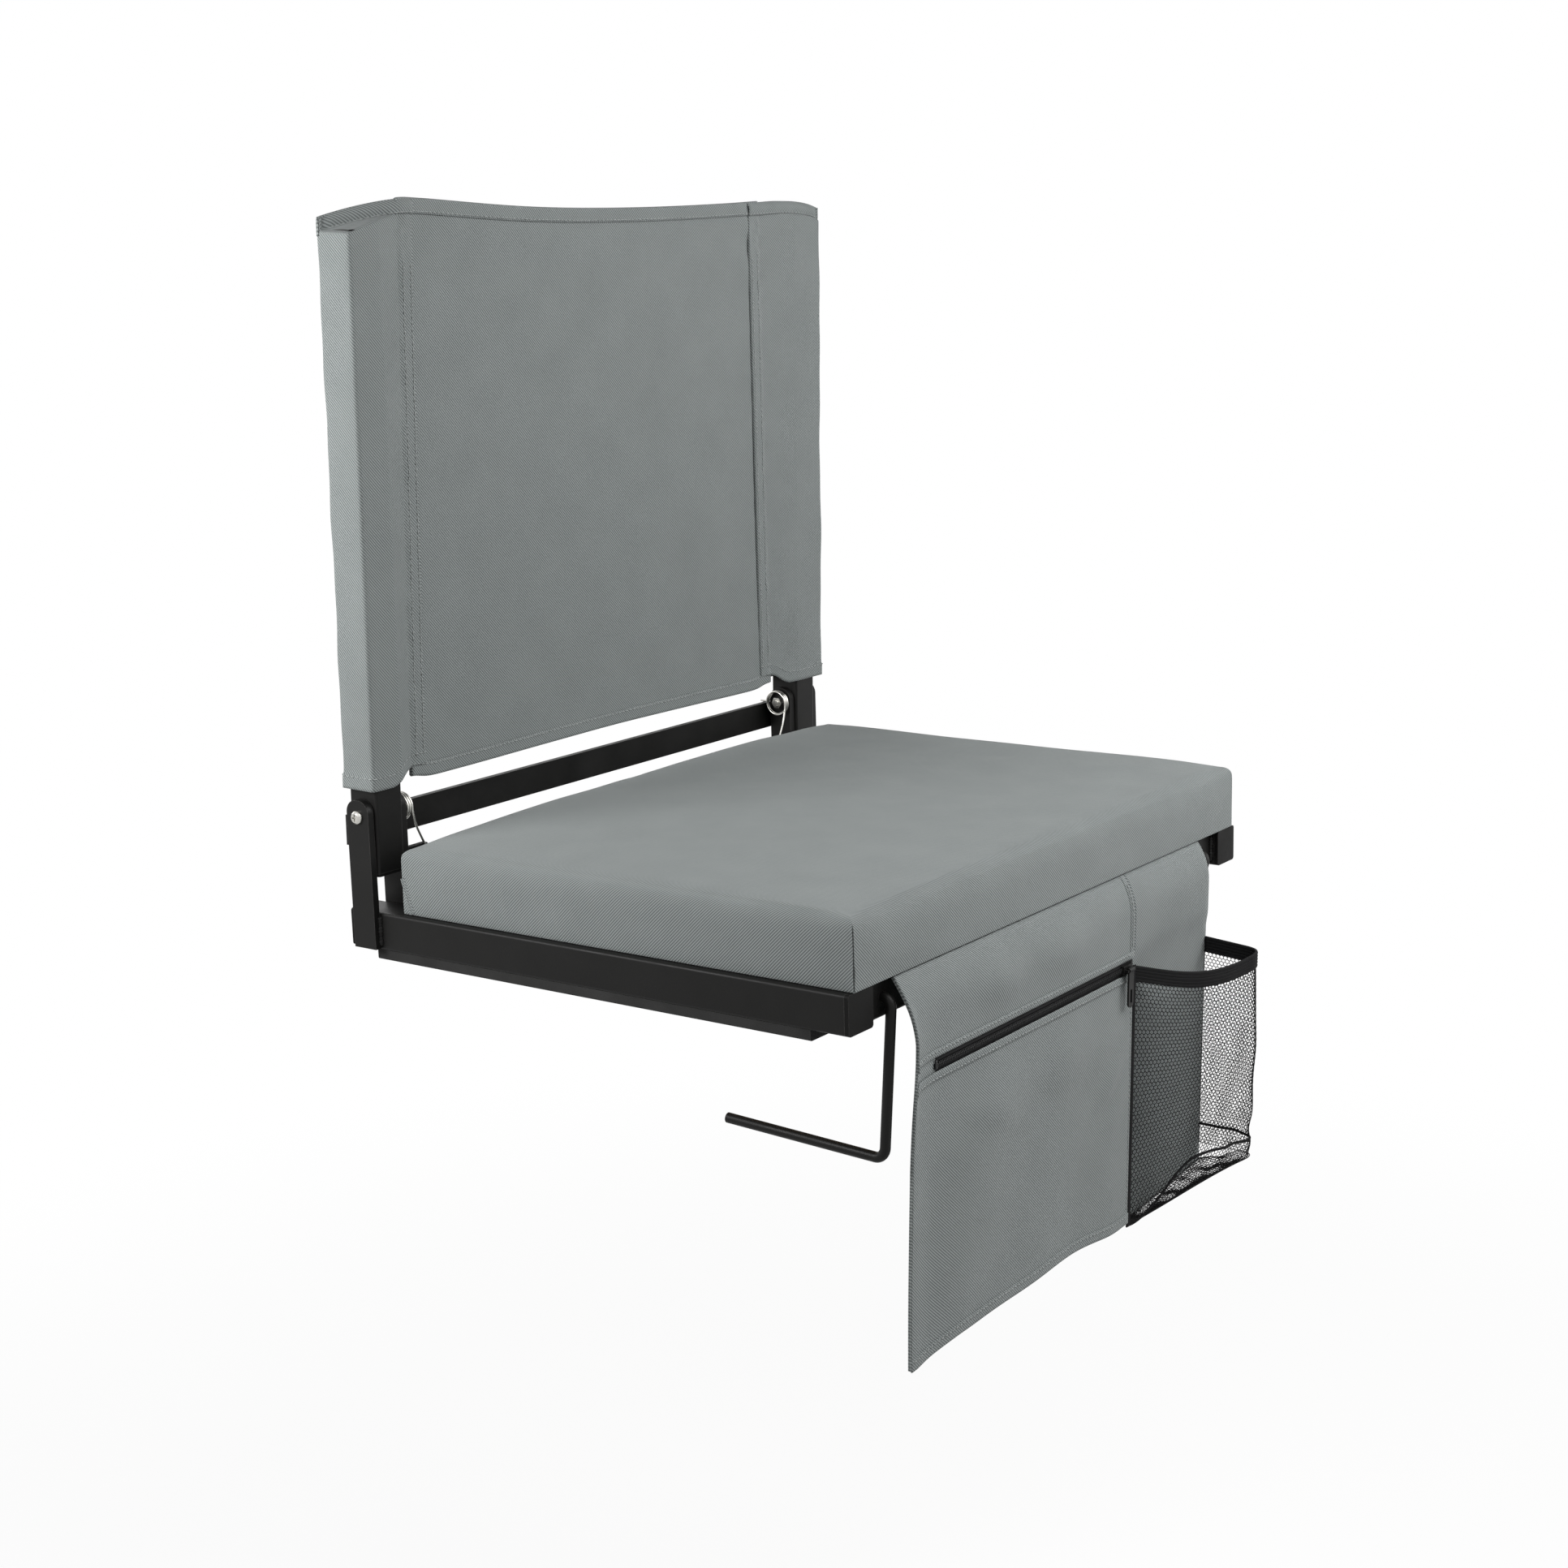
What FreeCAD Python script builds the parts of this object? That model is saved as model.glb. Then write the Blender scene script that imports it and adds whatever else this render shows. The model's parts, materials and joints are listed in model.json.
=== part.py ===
"""Folding stadium chair: a padded seat on a square tube frame, a sprung fabric back that folds
down over the seat, two rod hooks that grip a bench plank, and a pocketed flap at the front.

Axes: +Z up, the front of the chair faces -Y, X runs across it. The origin is midway between the
rails, halfway along them, on the plane of the bench that the runners rest on. Sizes in mm."""
import FreeCAD, Part
import Sketcher
import math
import os

V = FreeCAD.Vector
doc = FreeCAD.newDocument("stadium_chair")

# Driving dimensions: name, value, meaning
SIZES = (
    ("frame_width", 490, "over the two side rails"),
    ("rail_length", 388, "side rail tube without its caps"),
    ("tube_side", 25, "square tube, outside"),
    ("tube_wall", 1.2, "square tube wall"),
    ("tube_corner", 2, "square tube corner radius"),
    ("front_setback", 6, "front cross tube behind the front caps"),
    ("rear_setback", 49, "rear cross tube ahead of the rear caps"),
    ("cap_flange", 3, "end cap outside the tube"),
    ("cap_insert", 14, "end cap inside the tube"),
    ("cap_clearance", 0.15, "end cap to tube wall"),
    ("runner_height", 7, "non-slip runner under a rail"),
    ("runner_width", 22, "non-slip runner across"),
    ("runner_front_inset", 28, "runner behind the front cap"),
    ("runner_rear_inset", 21, "runner ahead of the rear cap"),
    ("runner_edge", 1.5, "runner rounded lower edge"),
    ("pivot_rise", 63.3, "pivot above the rails"),
    ("pivot_inset", 16.5, "pivot ahead of the rear caps"),
    ("bracket_width", 19, "hinge bracket flat bar"),
    ("bracket_thick", 5, "hinge bracket flat bar"),
    ("bracket_lap", 24, "bracket welded over the rail side"),
    ("bracket_top", 11.2, "bracket above the pivot"),
    ("bracket_round", 8.5, "bracket top corner radius"),
    ("bolt_dia", 5, "pivot bolt"),
    ("bolt_clearance", 0.05, "pivot bolt to its holes, radial"),
    ("bolt_head_dia", 8.8, "pivot bolt pan head"),
    ("bolt_head_height", 2.8, "pivot bolt pan head"),
    ("bolt_tail", 2, "bolt past its nut"),
    ("nut_flats", 8, "lock nut across flats"),
    ("nut_height", 5, "lock nut"),
    ("side_gap", 0.6, "upright to each bracket"),
    ("washer_dia", 13, "nylon pivot washer"),
    ("washer_play", 0.05, "nylon washer to each face"),
    ("spring_wire", 1.5, "torsion spring wire"),
    ("spring_coil", 18, "torsion spring mean diameter"),
    ("spring_pitch", 1.9, "torsion spring coil to coil"),
    ("spring_gap", 0.3, "spring legs to the tab and the stop bar"),
    ("tab_reach", 24, "spring tab inward of its bracket"),
    ("tab_height", 12, "spring tab"),
    ("tab_thick", 4, "spring tab"),
    ("tab_drop", 26.5, "spring tab top below the pivot"),
    ("tab_slant", 5, "spring tab slanted end"),
    ("upright_above", 368, "upright above the pivot"),
    ("upright_below", 37.5, "upright below the pivot"),
    ("plug_flange", 2, "upright plug outside the tube"),
    ("back_lean_angle", 1.4, "back leaning forward at rest, degrees"),
    ("bar_height", 20, "stop bar flat bar"),
    ("bar_thick", 4, "stop bar flat bar"),
    ("bar_drop", 1.3, "stop bar top below the pivot"),
    ("cloth", 1.2, "sewn fabric thickness"),
    ("sleeve_ease", 4.4, "sleeve round the upright"),
    ("sleeve_rise", 17.6, "sleeve lower edge above the pivot"),
    ("sleeve_head", 8, "sleeve above the upright's plug at its outer edge"),
    ("panel_head", 6, "back panel top above the sleeve's outer edge"),
    ("panel_lift", 4, "back panel lower edge above the sleeves'"),
    ("seam_inset", 58, "sleeve seam inside the rails' outer faces"),
    ("seam_forward", 8, "sleeve seams ahead of the pivot"),
    ("seam_margin", 10, "sewn layers beside each sleeve seam"),
    ("cushion_side_inset", 5, "cushion inside the rails' outer faces"),
    ("cushion_overhang", 1, "cushion ahead of the front caps"),
    ("cushion_rear_gap", 17, "cushion to the hinge brackets"),
    ("cushion_height", 42, "cushion at its edge"),
    ("cushion_crown", 2.5, "cushion middle above its edge"),
    ("cushion_round", 7, "cushion rounded top edge"),
    ("cushion_corner", 7, "cushion corner radius"),
    ("cushion_draw", 2.5, "cushion side drawn in between corners"),
    ("board_thick", 9, "plywood seat board"),
    ("board_margin", 4, "seat board inside the cover"),
    ("cover_turn", 30, "cover turned under the board"),
    ("foam_gap", 0.3, "foam to the cover"),
    ("screw_dia", 4, "board screw"),
    ("screw_head_dia", 8, "board screw head"),
    ("screw_head_height", 2.4, "board screw head"),
    ("screw_bite", 7, "board screw into the board"),
    ("screw_clearance", 0.2, "board screw to its holes"),
    ("screw_spread", 120, "between the two screws of a cross tube"),
    ("hook_dia", 6.5, "bench hook rod"),
    ("hook_inset", 18.5, "hook pivot inside the rail"),
    ("hook_drop", 96, "hook lower leg below its pivot"),
    ("hook_reach", 115, "hook lower leg behind its front leg"),
    ("hook_bend", 6.5, "hook bend radius at the rod's centre"),
    ("hook_rise_angle", 2.3, "hook lower leg rising to its tip, degrees"),
    ("hook_lean_angle", 6.3, "left hook resting outward, degrees"),
    ("hook_tuck_angle", 30, "right hook resting inward, degrees"),
    ("hook_clearance", 0.08, "hook rod to its holes, radial"),
    ("hook_tail", 5, "hook rod behind the cross tube"),
    ("push_nut_dia", 14, "push-on washer on the hook"),
    ("push_nut_thick", 1.2, "push-on washer on the hook"),
    ("push_nut_gap", 0.4, "push-on washer behind the cross tube"),
    ("flap_width", 382, "front flap"),
    ("flap_offset", -3, "front flap middle off the chair's middle"),
    ("flap_drop", 247, "front flap below the rails' top"),
    ("flap_forward", 8, "hanging flap ahead of the front caps"),
    ("flap_bulge", 40, "radius of the flap's bulge under the cushion"),
    ("flap_bulge_angle", 36, "turn of the flap's bulge, degrees"),
    ("flap_top_gap", 3, "flap panel below the cushion"),
    ("hem_depth", 5, "hem sewn under the cushion's front"),
    ("flap_lean_angle", 1.5, "flap's foot hanging back, degrees"),
    ("zip_drop", 61, "zip below the rails' top"),
    ("zip_length", 240, "zip chain"),
    ("zip_tape", 10, "zip tape height"),
    ("zip_tape_thick", 0.8, "zip tape"),
    ("zip_tooth", 3.2, "zip chain height"),
    ("zip_tooth_thick", 1.4, "zip chain"),
    ("zip_stop", 2.5, "zip end stop"),
    ("slider_length", 12, "zip slider"),
    ("slider_wall", 1, "zip slider wall"),
    ("slider_gap", 0.3, "zip slider to the chain"),
    ("bail_dia", 1.6, "slider's bail bar"),
    ("bail_rise", 1.2, "bail bar off the slider's face"),
    ("bail_span", 8, "bail bar between its posts"),
    ("pull_gap", 0.1, "pull's eye to the bail bar, radial"),
    ("pull_length", 26, "zip pull"),
    ("pull_width", 6.4, "zip pull"),
    ("pull_thick", 1.4, "zip pull"),
    ("net_width", 112, "mesh pocket along the flap"),
    ("net_depth", 39, "mesh pocket ahead of the flap"),
    ("net_front_radius", 180, "radius of the mesh pocket's front"),
    ("net_corner", 10, "mesh pocket's front corner radius"),
    ("net_top", 75, "mesh pocket's binding top below the rails' top"),
    ("net_bottom", 245, "mesh pocket's floor at the seam, below the rails' top"),
    ("net_rise", 24, "mesh pocket's floor rising from the seam to its outer end"),
    ("net_thick", 1.2, "mesh"),
    ("binding_height", 10, "elastic binding"),
    ("binding_thick", 2.4, "elastic binding"),
)

# Shape ratios that are not sizes
SPRING_TURNS = 2
SPRING_RELIEF = 0.055
SPRING_TILT = 30
POINTS_PER_ARC = 12
SLEEVE_PINCH = 1.2
CROWN_REACH = 0.5
CROWN_HALFWAY = 0.7
ROUND_IN = 0.3
PULL_ROUND = 0.45
SLOT_WIDTH = 0.4
SLOT_LENGTH = 0.36
SLOT_PLACE = 0.7

# How nearly two directions must agree, and two places meet, to count as the same
PARALLEL = 0.999
NEAR = 0.01

sheet = doc.addObject("Spreadsheet::Sheet", "Sizes")
for row, (alias, value, meaning) in enumerate(SIZES, start=1):
    sheet.set(f"A{row}", meaning)
    sheet.set(f"B{row}", str(value))
    sheet.setAlias(f"B{row}", alias)
doc.recompute()

# Places that several sub-parts share, as expressions of the sheet's cells
RAIL_X = "(Sizes.frame_width - Sizes.tube_side) / 2"
RAIL_Z = "(Sizes.runner_height + Sizes.tube_side / 2)"
RAIL_TOP = "(Sizes.runner_height + Sizes.tube_side)"
RAIL_END = "(Sizes.rail_length / 2 + Sizes.cap_flange)"
CROSS_LENGTH = "Sizes.frame_width - 2 * Sizes.tube_side"
FRONT_TUBE_Y = f"(Sizes.front_setback + Sizes.tube_side / 2 - {RAIL_END})"
REAR_TUBE_Y = f"({RAIL_END} - Sizes.rear_setback - Sizes.tube_side / 2)"
TUBE_BORE = "(Sizes.tube_side - 2 * Sizes.tube_wall)"
PIVOT_Y = f"({RAIL_END} - Sizes.pivot_inset)"
PIVOT_Z = f"({RAIL_TOP} + Sizes.pivot_rise)"
OUTER_FACE = "(Sizes.frame_width / 2 + Sizes.bracket_thick)"
INNER_FACE = "(Sizes.frame_width / 2 - Sizes.tube_side - Sizes.bracket_thick)"
BOLT_HOLE = "(Sizes.bolt_dia + 2 * Sizes.bolt_clearance)"
UPRIGHT_SIDE = "(Sizes.tube_side - 2 * Sizes.side_gap)"
UPRIGHT_BORE = f"({UPRIGHT_SIDE} - 2 * Sizes.tube_wall)"
SEAM_X = "(Sizes.frame_width / 2 - Sizes.seam_inset)"
SLEEVE_TOP = "(Sizes.upright_above + Sizes.plug_flange + Sizes.sleeve_head)"
HOOK_X = "(Sizes.frame_width / 2 - Sizes.tube_side - Sizes.hook_inset)"
HOOK_HOLE = "(Sizes.hook_dia + 2 * Sizes.hook_clearance)"
SCREW_HOLE = "(Sizes.screw_dia + 2 * Sizes.screw_clearance)"
BOARD_Z = f"({RAIL_TOP} + Sizes.cloth)"
FLAP_FACE = "(Sizes.flap_forward + Sizes.cloth / 2)"
FLAP_LEFT = "(Sizes.flap_offset - Sizes.flap_width / 2)"
FLAP_RIGHT = "(Sizes.flap_offset + Sizes.flap_width / 2)"
POCKET_SEAM = f"({FLAP_RIGHT} - Sizes.net_width)"
ZIP_MIDDLE = f"({POCKET_SEAM} - Sizes.zip_stop - Sizes.zip_length / 2)"
CHAIN_FACE = f"({FLAP_FACE} + Sizes.zip_tape_thick + Sizes.zip_tooth_thick)"
SLIDER_FACE = f"({CHAIN_FACE} + Sizes.slider_gap + Sizes.slider_wall)"
SLIDER_X = f"({POCKET_SEAM} - Sizes.zip_stop - Sizes.slider_gap - Sizes.slider_length / 2)"
BAIL_Y = f"({SLIDER_FACE} + Sizes.bail_rise + Sizes.bail_dia / 2)"
EYE_DIA = "(Sizes.bail_dia + 2 * Sizes.pull_gap)"

SIDES = (("left", -1), ("right", 1))
parts = []


def size(alias):
    """The number in the sheet's cell of this name."""
    return float(sheet.get(alias))


# Helpers for bodies, sketches and features

def new_body(label):
    """An empty body that becomes the sub-part of this name."""
    body = doc.addObject("PartDesign::Body", label)
    body.Label = label
    parts.append(body)
    return body


def new_feature(label, shape):
    """A sub-part whose shape is made directly."""
    feature = doc.addObject("Part::Feature", label)
    feature.Label = label
    feature.Shape = shape
    parts.append(feature)
    return feature


def place(part, x="0", y="0", z="0"):
    """Tie a sub-part's place to the sheet."""
    part.setExpression(".Placement.Base.x", x)
    part.setExpression(".Placement.Base.y", y)
    part.setExpression(".Placement.Base.z", z)


def turn(part, axis, angle):
    """Turn a sub-part about an axis through its own origin."""
    part.Placement = FreeCAD.Placement(V(), FreeCAD.Rotation(axis, 1))
    part.setExpression(".Placement.Rotation.Angle", angle)


def place_on_back(part, x="0"):
    """Put a sub-part of the back, drawn round the pivot, on the leaning back."""
    turn(part, V(1, 0, 0), "Sizes.back_lean_angle")
    place(part, x, PIVOT_Y, PIVOT_Z)


def place_on_flap(part, x="0"):
    """Put a sub-part of the flap, drawn round the rails' top front edge, on the hanging flap."""
    turn(part, V(1, 0, 0), "Sizes.flap_lean_angle")
    place(part, x, f"-{RAIL_END}", RAIL_TOP)


def sketch_on(body, role, across="0", up="0", lift="0"):
    """A sketch on one of the body's origin planes, moved in the plane and along its normal."""
    sketch = body.newObject("Sketcher::SketchObject", body.Label + "_sketch")
    planes = [feature for feature in body.Origin.OriginFeatures if feature.Role == role]
    sketch.AttachmentSupport = [(planes[0], "")]
    sketch.MapMode = "FlatFace"
    sketch.setExpression(".AttachmentOffset.Base.x", across)
    sketch.setExpression(".AttachmentOffset.Base.y", up)
    sketch.setExpression(".AttachmentOffset.Base.z", lift)
    return sketch


def fix(sketch, kind, *where, to, start=1.0):
    """Add a measured constraint and tie it to the sheet. Start is the value it is drawn at."""
    number = sketch.addConstraint(Sketcher.Constraint(kind, *where, start))
    sketch.setExpression(f"Constraints[{number}]", to)


def hold(sketch, kind, *where):
    """Add a constraint without a measure."""
    sketch.addConstraint(Sketcher.Constraint(kind, *where))


def rectangle(sketch, width, height):
    """A rectangle about the sketch's origin."""
    first = sketch.GeometryCount
    corners = [V(-1, -1), V(1, -1), V(1, 1), V(-1, 1)]
    for start, end in zip(corners, corners[1:] + corners[:1]):
        sketch.addGeometry(Part.LineSegment(start, end), False)
    for side in range(4):
        sketch.addConstraint(Sketcher.Constraint("Coincident", first + side, 2, first + (side + 1) % 4, 1))
        direction = ("Horizontal", "Vertical")[side % 2]
        sketch.addConstraint(Sketcher.Constraint(direction, first + side))
    sketch.addConstraint(Sketcher.Constraint("Symmetric", first, 1, first + 1, 2, -1, 1))
    fix(sketch, "DistanceX", first, 1, first, 2, to=width)
    fix(sketch, "DistanceY", first + 1, 1, first + 1, 2, to=height)


def circle(sketch, diameter):
    """A circle about the sketch's origin."""
    ring = sketch.addGeometry(Part.Circle(V(), V(0, 0, 1), 1), False)
    sketch.addConstraint(Sketcher.Constraint("Coincident", ring, 3, -1, 1))
    fix(sketch, "Diameter", ring, to=diameter)


def circle_pair(sketch, spread, diameter):
    """Two circles, one each side of the sketch's vertical axis."""
    rings = [sketch.addGeometry(Part.Circle(V(x, 0), V(0, 0, 1), 1), False) for x in (-5, 5)]
    for ring in rings:
        fix(sketch, "Diameter", ring, to=diameter)
    sketch.addConstraint(Sketcher.Constraint("PointOnObject", rings[0], 3, -1))
    sketch.addConstraint(Sketcher.Constraint("Symmetric", rings[0], 3, rings[1], 3, -2))
    fix(sketch, "DistanceX", rings[0], 3, rings[1], 3, to=spread)


def outline(sketch, points):
    """A closed outline of straight lines through points given as pairs of expressions."""
    count = len(points)
    seeds = [V(math.cos(2 * math.pi * i / count), math.sin(2 * math.pi * i / count)) for i in range(count)]
    lines = []
    for start, end in zip(seeds, seeds[1:] + seeds[:1]):
        lines.append(sketch.addGeometry(Part.LineSegment(start, end), False))
    for line, following in zip(lines, lines[1:] + lines[:1]):
        sketch.addConstraint(Sketcher.Constraint("Coincident", line, 2, following, 1))
    for line, (across, up) in zip(lines, points):
        fix(sketch, "DistanceX", -1, 1, line, 1, to=across)
        fix(sketch, "DistanceY", -1, 1, line, 1, to=up)


def pad(body, sketch, length, symmetric=True):
    """Thicken a sketch, to both sides of its plane or along its normal."""
    feature = body.newObject("PartDesign::Pad", body.Label + "_pad")
    feature.Profile = sketch
    feature.SideType = "Symmetric" if symmetric else "One side"
    feature.setExpression("Length", length)
    return feature


def drill(body, sketch):
    """Cut a sketch right through the body, both ways."""
    feature = body.newObject("PartDesign::Pocket", body.Label + "_hole")
    feature.Profile = sketch
    feature.SideType = "Symmetric"
    feature.Type = "ThroughAll"
    return feature


def straight_edges(feature, axis):
    """Names and middles of the straight edges along an axis."""
    doc.recompute()
    found = []
    for number, edge in enumerate(feature.Shape.Edges, start=1):
        if isinstance(edge.Curve, Part.Line) and abs(edge.Curve.Direction.dot(axis)) > PARALLEL:
            found.append((f"Edge{number}", edge.CenterOfMass))
    return found


def round_edges(body, feature, names, radius):
    """Fillet the named edges of a feature."""
    fillet = body.newObject("PartDesign::Fillet", body.Label + "_fillet")
    fillet.Base = (feature, names)
    fillet.setExpression("Radius", radius)
    return fillet


def round_outer_edges(body, feature, axis, radius):
    """Fillet the four edges along an axis that stand furthest from it."""
    edges = straight_edges(feature, axis)
    edges.sort(key=lambda edge: edge[1].cross(axis).Length, reverse=True)
    return round_edges(body, feature, [name for name, middle in edges[:4]], radius)


def box_body(label, role, width, height, length, **offset):
    """A plain bar or sheet: a rectangle on an origin plane, thickened to both sides."""
    body = new_body(label)
    sketch = sketch_on(body, role, **offset)
    rectangle(sketch, width, height)
    pad(body, sketch, length)
    return body


# Seat frame

def side_rail(side, sign):
    """Square tube along the seat's side."""
    body = new_body(f"rail_{side}")
    section = sketch_on(body, "XZ_Plane")
    rectangle(section, "Sizes.tube_side", "Sizes.tube_side")
    rectangle(section, TUBE_BORE, TUBE_BORE)
    tube = pad(body, section, "Sizes.rail_length")
    round_outer_edges(body, tube, V(0, 1, 0), "Sizes.tube_corner")
    place(body, f"{sign} * {RAIL_X}", "0", RAIL_Z)


def cross_tube(label, y):
    """Square tube between the rails, drilled for the board screws."""
    body = new_body(label)
    section = sketch_on(body, "YZ_Plane")
    rectangle(section, "Sizes.tube_side", "Sizes.tube_side")
    rectangle(section, TUBE_BORE, TUBE_BORE)
    tube = pad(body, section, CROSS_LENGTH)
    round_outer_edges(body, tube, V(1, 0, 0), "Sizes.tube_corner")
    holes = sketch_on(body, "XY_Plane")
    circle_pair(holes, "Sizes.screw_spread", SCREW_HOLE)
    drill(body, holes)
    place(body, "0", y, RAIL_Z)
    return body


def front_cross_tube():
    """The front cross tube also carries the hooks' pivot holes."""
    body = cross_tube("front_cross_tube", FRONT_TUBE_Y)
    holes = sketch_on(body, "XZ_Plane")
    circle_pair(holes, f"2 * {HOOK_X}", HOOK_HOLE)
    drill(body, holes)


def end_plug(label, role, normal, side, bore, flange, inward, end="0"):
    """A moulded plug: a flange the size of the tube and a block inside it.

    End is how far along the plane's normal the tube ends, and inward is the way into the tube."""
    body = new_body(label)
    inside = f"{bore} - 2 * Sizes.cap_clearance"
    insert = sketch_on(body, role, lift=f"{end} + ({inward}) * Sizes.cap_insert / 2")
    rectangle(insert, inside, inside)
    pad(body, insert, "Sizes.cap_insert")
    rim = sketch_on(body, role, lift=f"{end} - ({inward}) * {flange} / 2")
    rectangle(rim, side, side)
    plate = pad(body, rim, flange)
    round_outer_edges(body, plate, normal, "Sizes.tube_corner")
    return body


def rail_cap(end, side, sign, facing):
    """End cap of a rail. The plane's normal is -Y, so a front cap's block goes against it."""
    body = end_plug(f"cap_{end}_{side}", "XZ_Plane", V(0, 1, 0), "Sizes.tube_side", TUBE_BORE,
                    "Sizes.cap_flange", facing)
    place(body, f"{sign} * {RAIL_X}", f"{facing} * Sizes.rail_length / 2", RAIL_Z)


def runner(side, sign):
    """Non-slip strip under a rail, rounded where it meets the bench."""
    length = f"2 * {RAIL_END} - Sizes.runner_front_inset - Sizes.runner_rear_inset"
    body = box_body(f"runner_{side}", "XZ_Plane", "Sizes.runner_width", "Sizes.runner_height", length)
    edges = straight_edges(body.Tip, V(0, 1, 0))
    lower = [name for name, middle in edges if middle.z < 0]
    round_edges(body, body.Tip, lower, "Sizes.runner_edge")
    middle_y = "(Sizes.runner_front_inset - Sizes.runner_rear_inset) / 2"
    place(body, f"{sign} * {RAIL_X}", middle_y, "Sizes.runner_height / 2")


def bracket(level, side, sign):
    """Flat bar hinge bracket, drawn round the pivot and welded to one face of the rail."""
    height = "Sizes.bracket_top + Sizes.pivot_rise + Sizes.bracket_lap"
    middle = f"Sizes.bracket_top - ({height}) / 2"
    label = f"bracket_{level}_{side}"
    body = box_body(label, "YZ_Plane", "Sizes.bracket_width", height, "Sizes.bracket_thick", up=middle)
    bar = body.Tip
    corners = [name for name, place_of in straight_edges(bar, V(1, 0, 0)) if place_of.z > 0]
    round_edges(body, bar, corners, "Sizes.bracket_round")
    hole = sketch_on(body, "YZ_Plane")
    circle(hole, BOLT_HOLE)
    drill(body, hole)
    face = {"outer": f"{OUTER_FACE} - Sizes.bracket_thick / 2",
            "inner": f"{INNER_FACE} + Sizes.bracket_thick / 2"}[level]
    place(body, f"{sign} * ({face})", PIVOT_Y, PIVOT_Z)


def tab_y():
    """Middle of the spring tab ahead of the pivot: the spring's leg passes just in front of it."""
    return "(Sizes.spring_coil / 2 - Sizes.spring_wire / 2 - Sizes.tab_thick / 2 - Sizes.spring_gap)"


def spring_tab(side, sign):
    """Tab on the inner bracket that the spring's lower leg bears on, with a slanted end."""
    body = new_body(f"spring_tab_{side}")
    face = sketch_on(body, "XZ_Plane", lift=tab_y())
    top = "-Sizes.tab_drop"
    bottom = "-Sizes.tab_drop - Sizes.tab_height"
    root = f"{sign} * {INNER_FACE}"
    tip = f"{sign} * ({INNER_FACE} - Sizes.tab_reach)"
    slant = f"{sign} * ({INNER_FACE} - Sizes.tab_reach + Sizes.tab_slant)"
    below = f"{top} - Sizes.tab_slant"
    outline(face, [(root, top), (slant, top), (tip, below), (tip, bottom), (root, bottom)])
    pad(body, face, "Sizes.tab_thick")
    place(body, "0", PIVOT_Y, PIVOT_Z)


# Pivot hardware

def pivot_bolt(side, sign):
    """Pan head bolt from the outer bracket through the upright to the lock nut."""
    body = new_body(f"pivot_bolt_{side}")
    profile = sketch_on(body, "XZ_Plane")
    head = f"{OUTER_FACE} + Sizes.bolt_head_height"
    tail = f"{INNER_FACE} - Sizes.nut_height - Sizes.bolt_tail"
    shank_top = "Sizes.bolt_dia / 2"
    head_top = "Sizes.bolt_head_dia / 2"
    crown = f"{OUTER_FACE} + Sizes.bolt_head_height / 2"
    flat_top = f"{head_top} - Sizes.bolt_head_height / 2"
    points = [(tail, "0"), (head, "0"), (head, flat_top), (crown, head_top),
              (OUTER_FACE, head_top), (OUTER_FACE, shank_top), (tail, shank_top)]
    outline(profile, [(f"{sign} * ({across})", up) for across, up in points])
    turned = body.newObject("PartDesign::Revolution", body.Label + "_turned")
    turned.Profile = profile
    turned.ReferenceAxis = (profile, ["H_Axis"])
    turned.Angle = 360
    place(body, "0", PIVOT_Y, PIVOT_Z)


def hexagon(sketch, across_flats):
    """A regular hexagon about the sketch's origin, flats top and bottom."""
    half = f"({across_flats}) / 2"
    corner = f"({across_flats}) / sqrt(3)"
    outline(sketch, [(corner, "0"), (f"{corner} / 2", half), (f"-{corner} / 2", half),
                     (f"-{corner}", "0"), (f"-{corner} / 2", f"-{half}"), (f"{corner} / 2", f"-{half}")])


def pivot_nut(side, sign):
    """Lock nut against the inner bracket."""
    body = new_body(f"pivot_nut_{side}")
    face = sketch_on(body, "YZ_Plane")
    hexagon(face, "Sizes.nut_flats")
    circle(face, BOLT_HOLE)
    pad(body, face, "Sizes.nut_height")
    place(body, f"{sign} * ({INNER_FACE} - Sizes.nut_height / 2)", PIVOT_Y, PIVOT_Z)


def pivot_washer(level, side, sign):
    """Thin nylon washer between the upright and a bracket."""
    body = new_body(f"pivot_washer_{level}_{side}")
    face = sketch_on(body, "YZ_Plane")
    circle(face, "Sizes.washer_dia")
    circle(face, BOLT_HOLE)
    pad(body, face, "Sizes.side_gap - 2 * Sizes.washer_play")
    edge = {"outer": 1, "inner": -1}[level]
    middle = f"{RAIL_X} + {edge} * (Sizes.tube_side - Sizes.side_gap) / 2"
    place(body, f"{sign} * ({middle})", PIVOT_Y, PIVOT_Z)


def arc_middle(start, tangent, end):
    """Middle of the circular arc that leaves start along tangent and reaches end."""
    chord = end - start
    toward = tangent.cross(chord).cross(tangent)
    toward.normalize()
    radius = chord.dot(chord) / (2 * chord.dot(toward))
    centre = start + toward * radius
    spoke = (start + end) * 0.5 - centre
    spoke.normalize()
    return centre + spoke * radius


def biarc(start, leaving, end, arriving):
    """Two arcs that join start to end with the given directions at both."""
    chord = end - start
    spread = 2 * (1 - leaving.dot(arriving))
    slope = chord.dot(leaving + arriving)
    reach = (math.sqrt(slope * slope + spread * chord.dot(chord)) - slope) / spread
    meet = (start + leaving * reach + end - arriving * reach) * 0.5
    first = Part.Arc(start, arc_middle(start, leaving, meet), meet)
    second = Part.Arc(meet, arc_middle(end, arriving * -1, meet), end)
    return [first.toShape(), second.toShape()]


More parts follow.
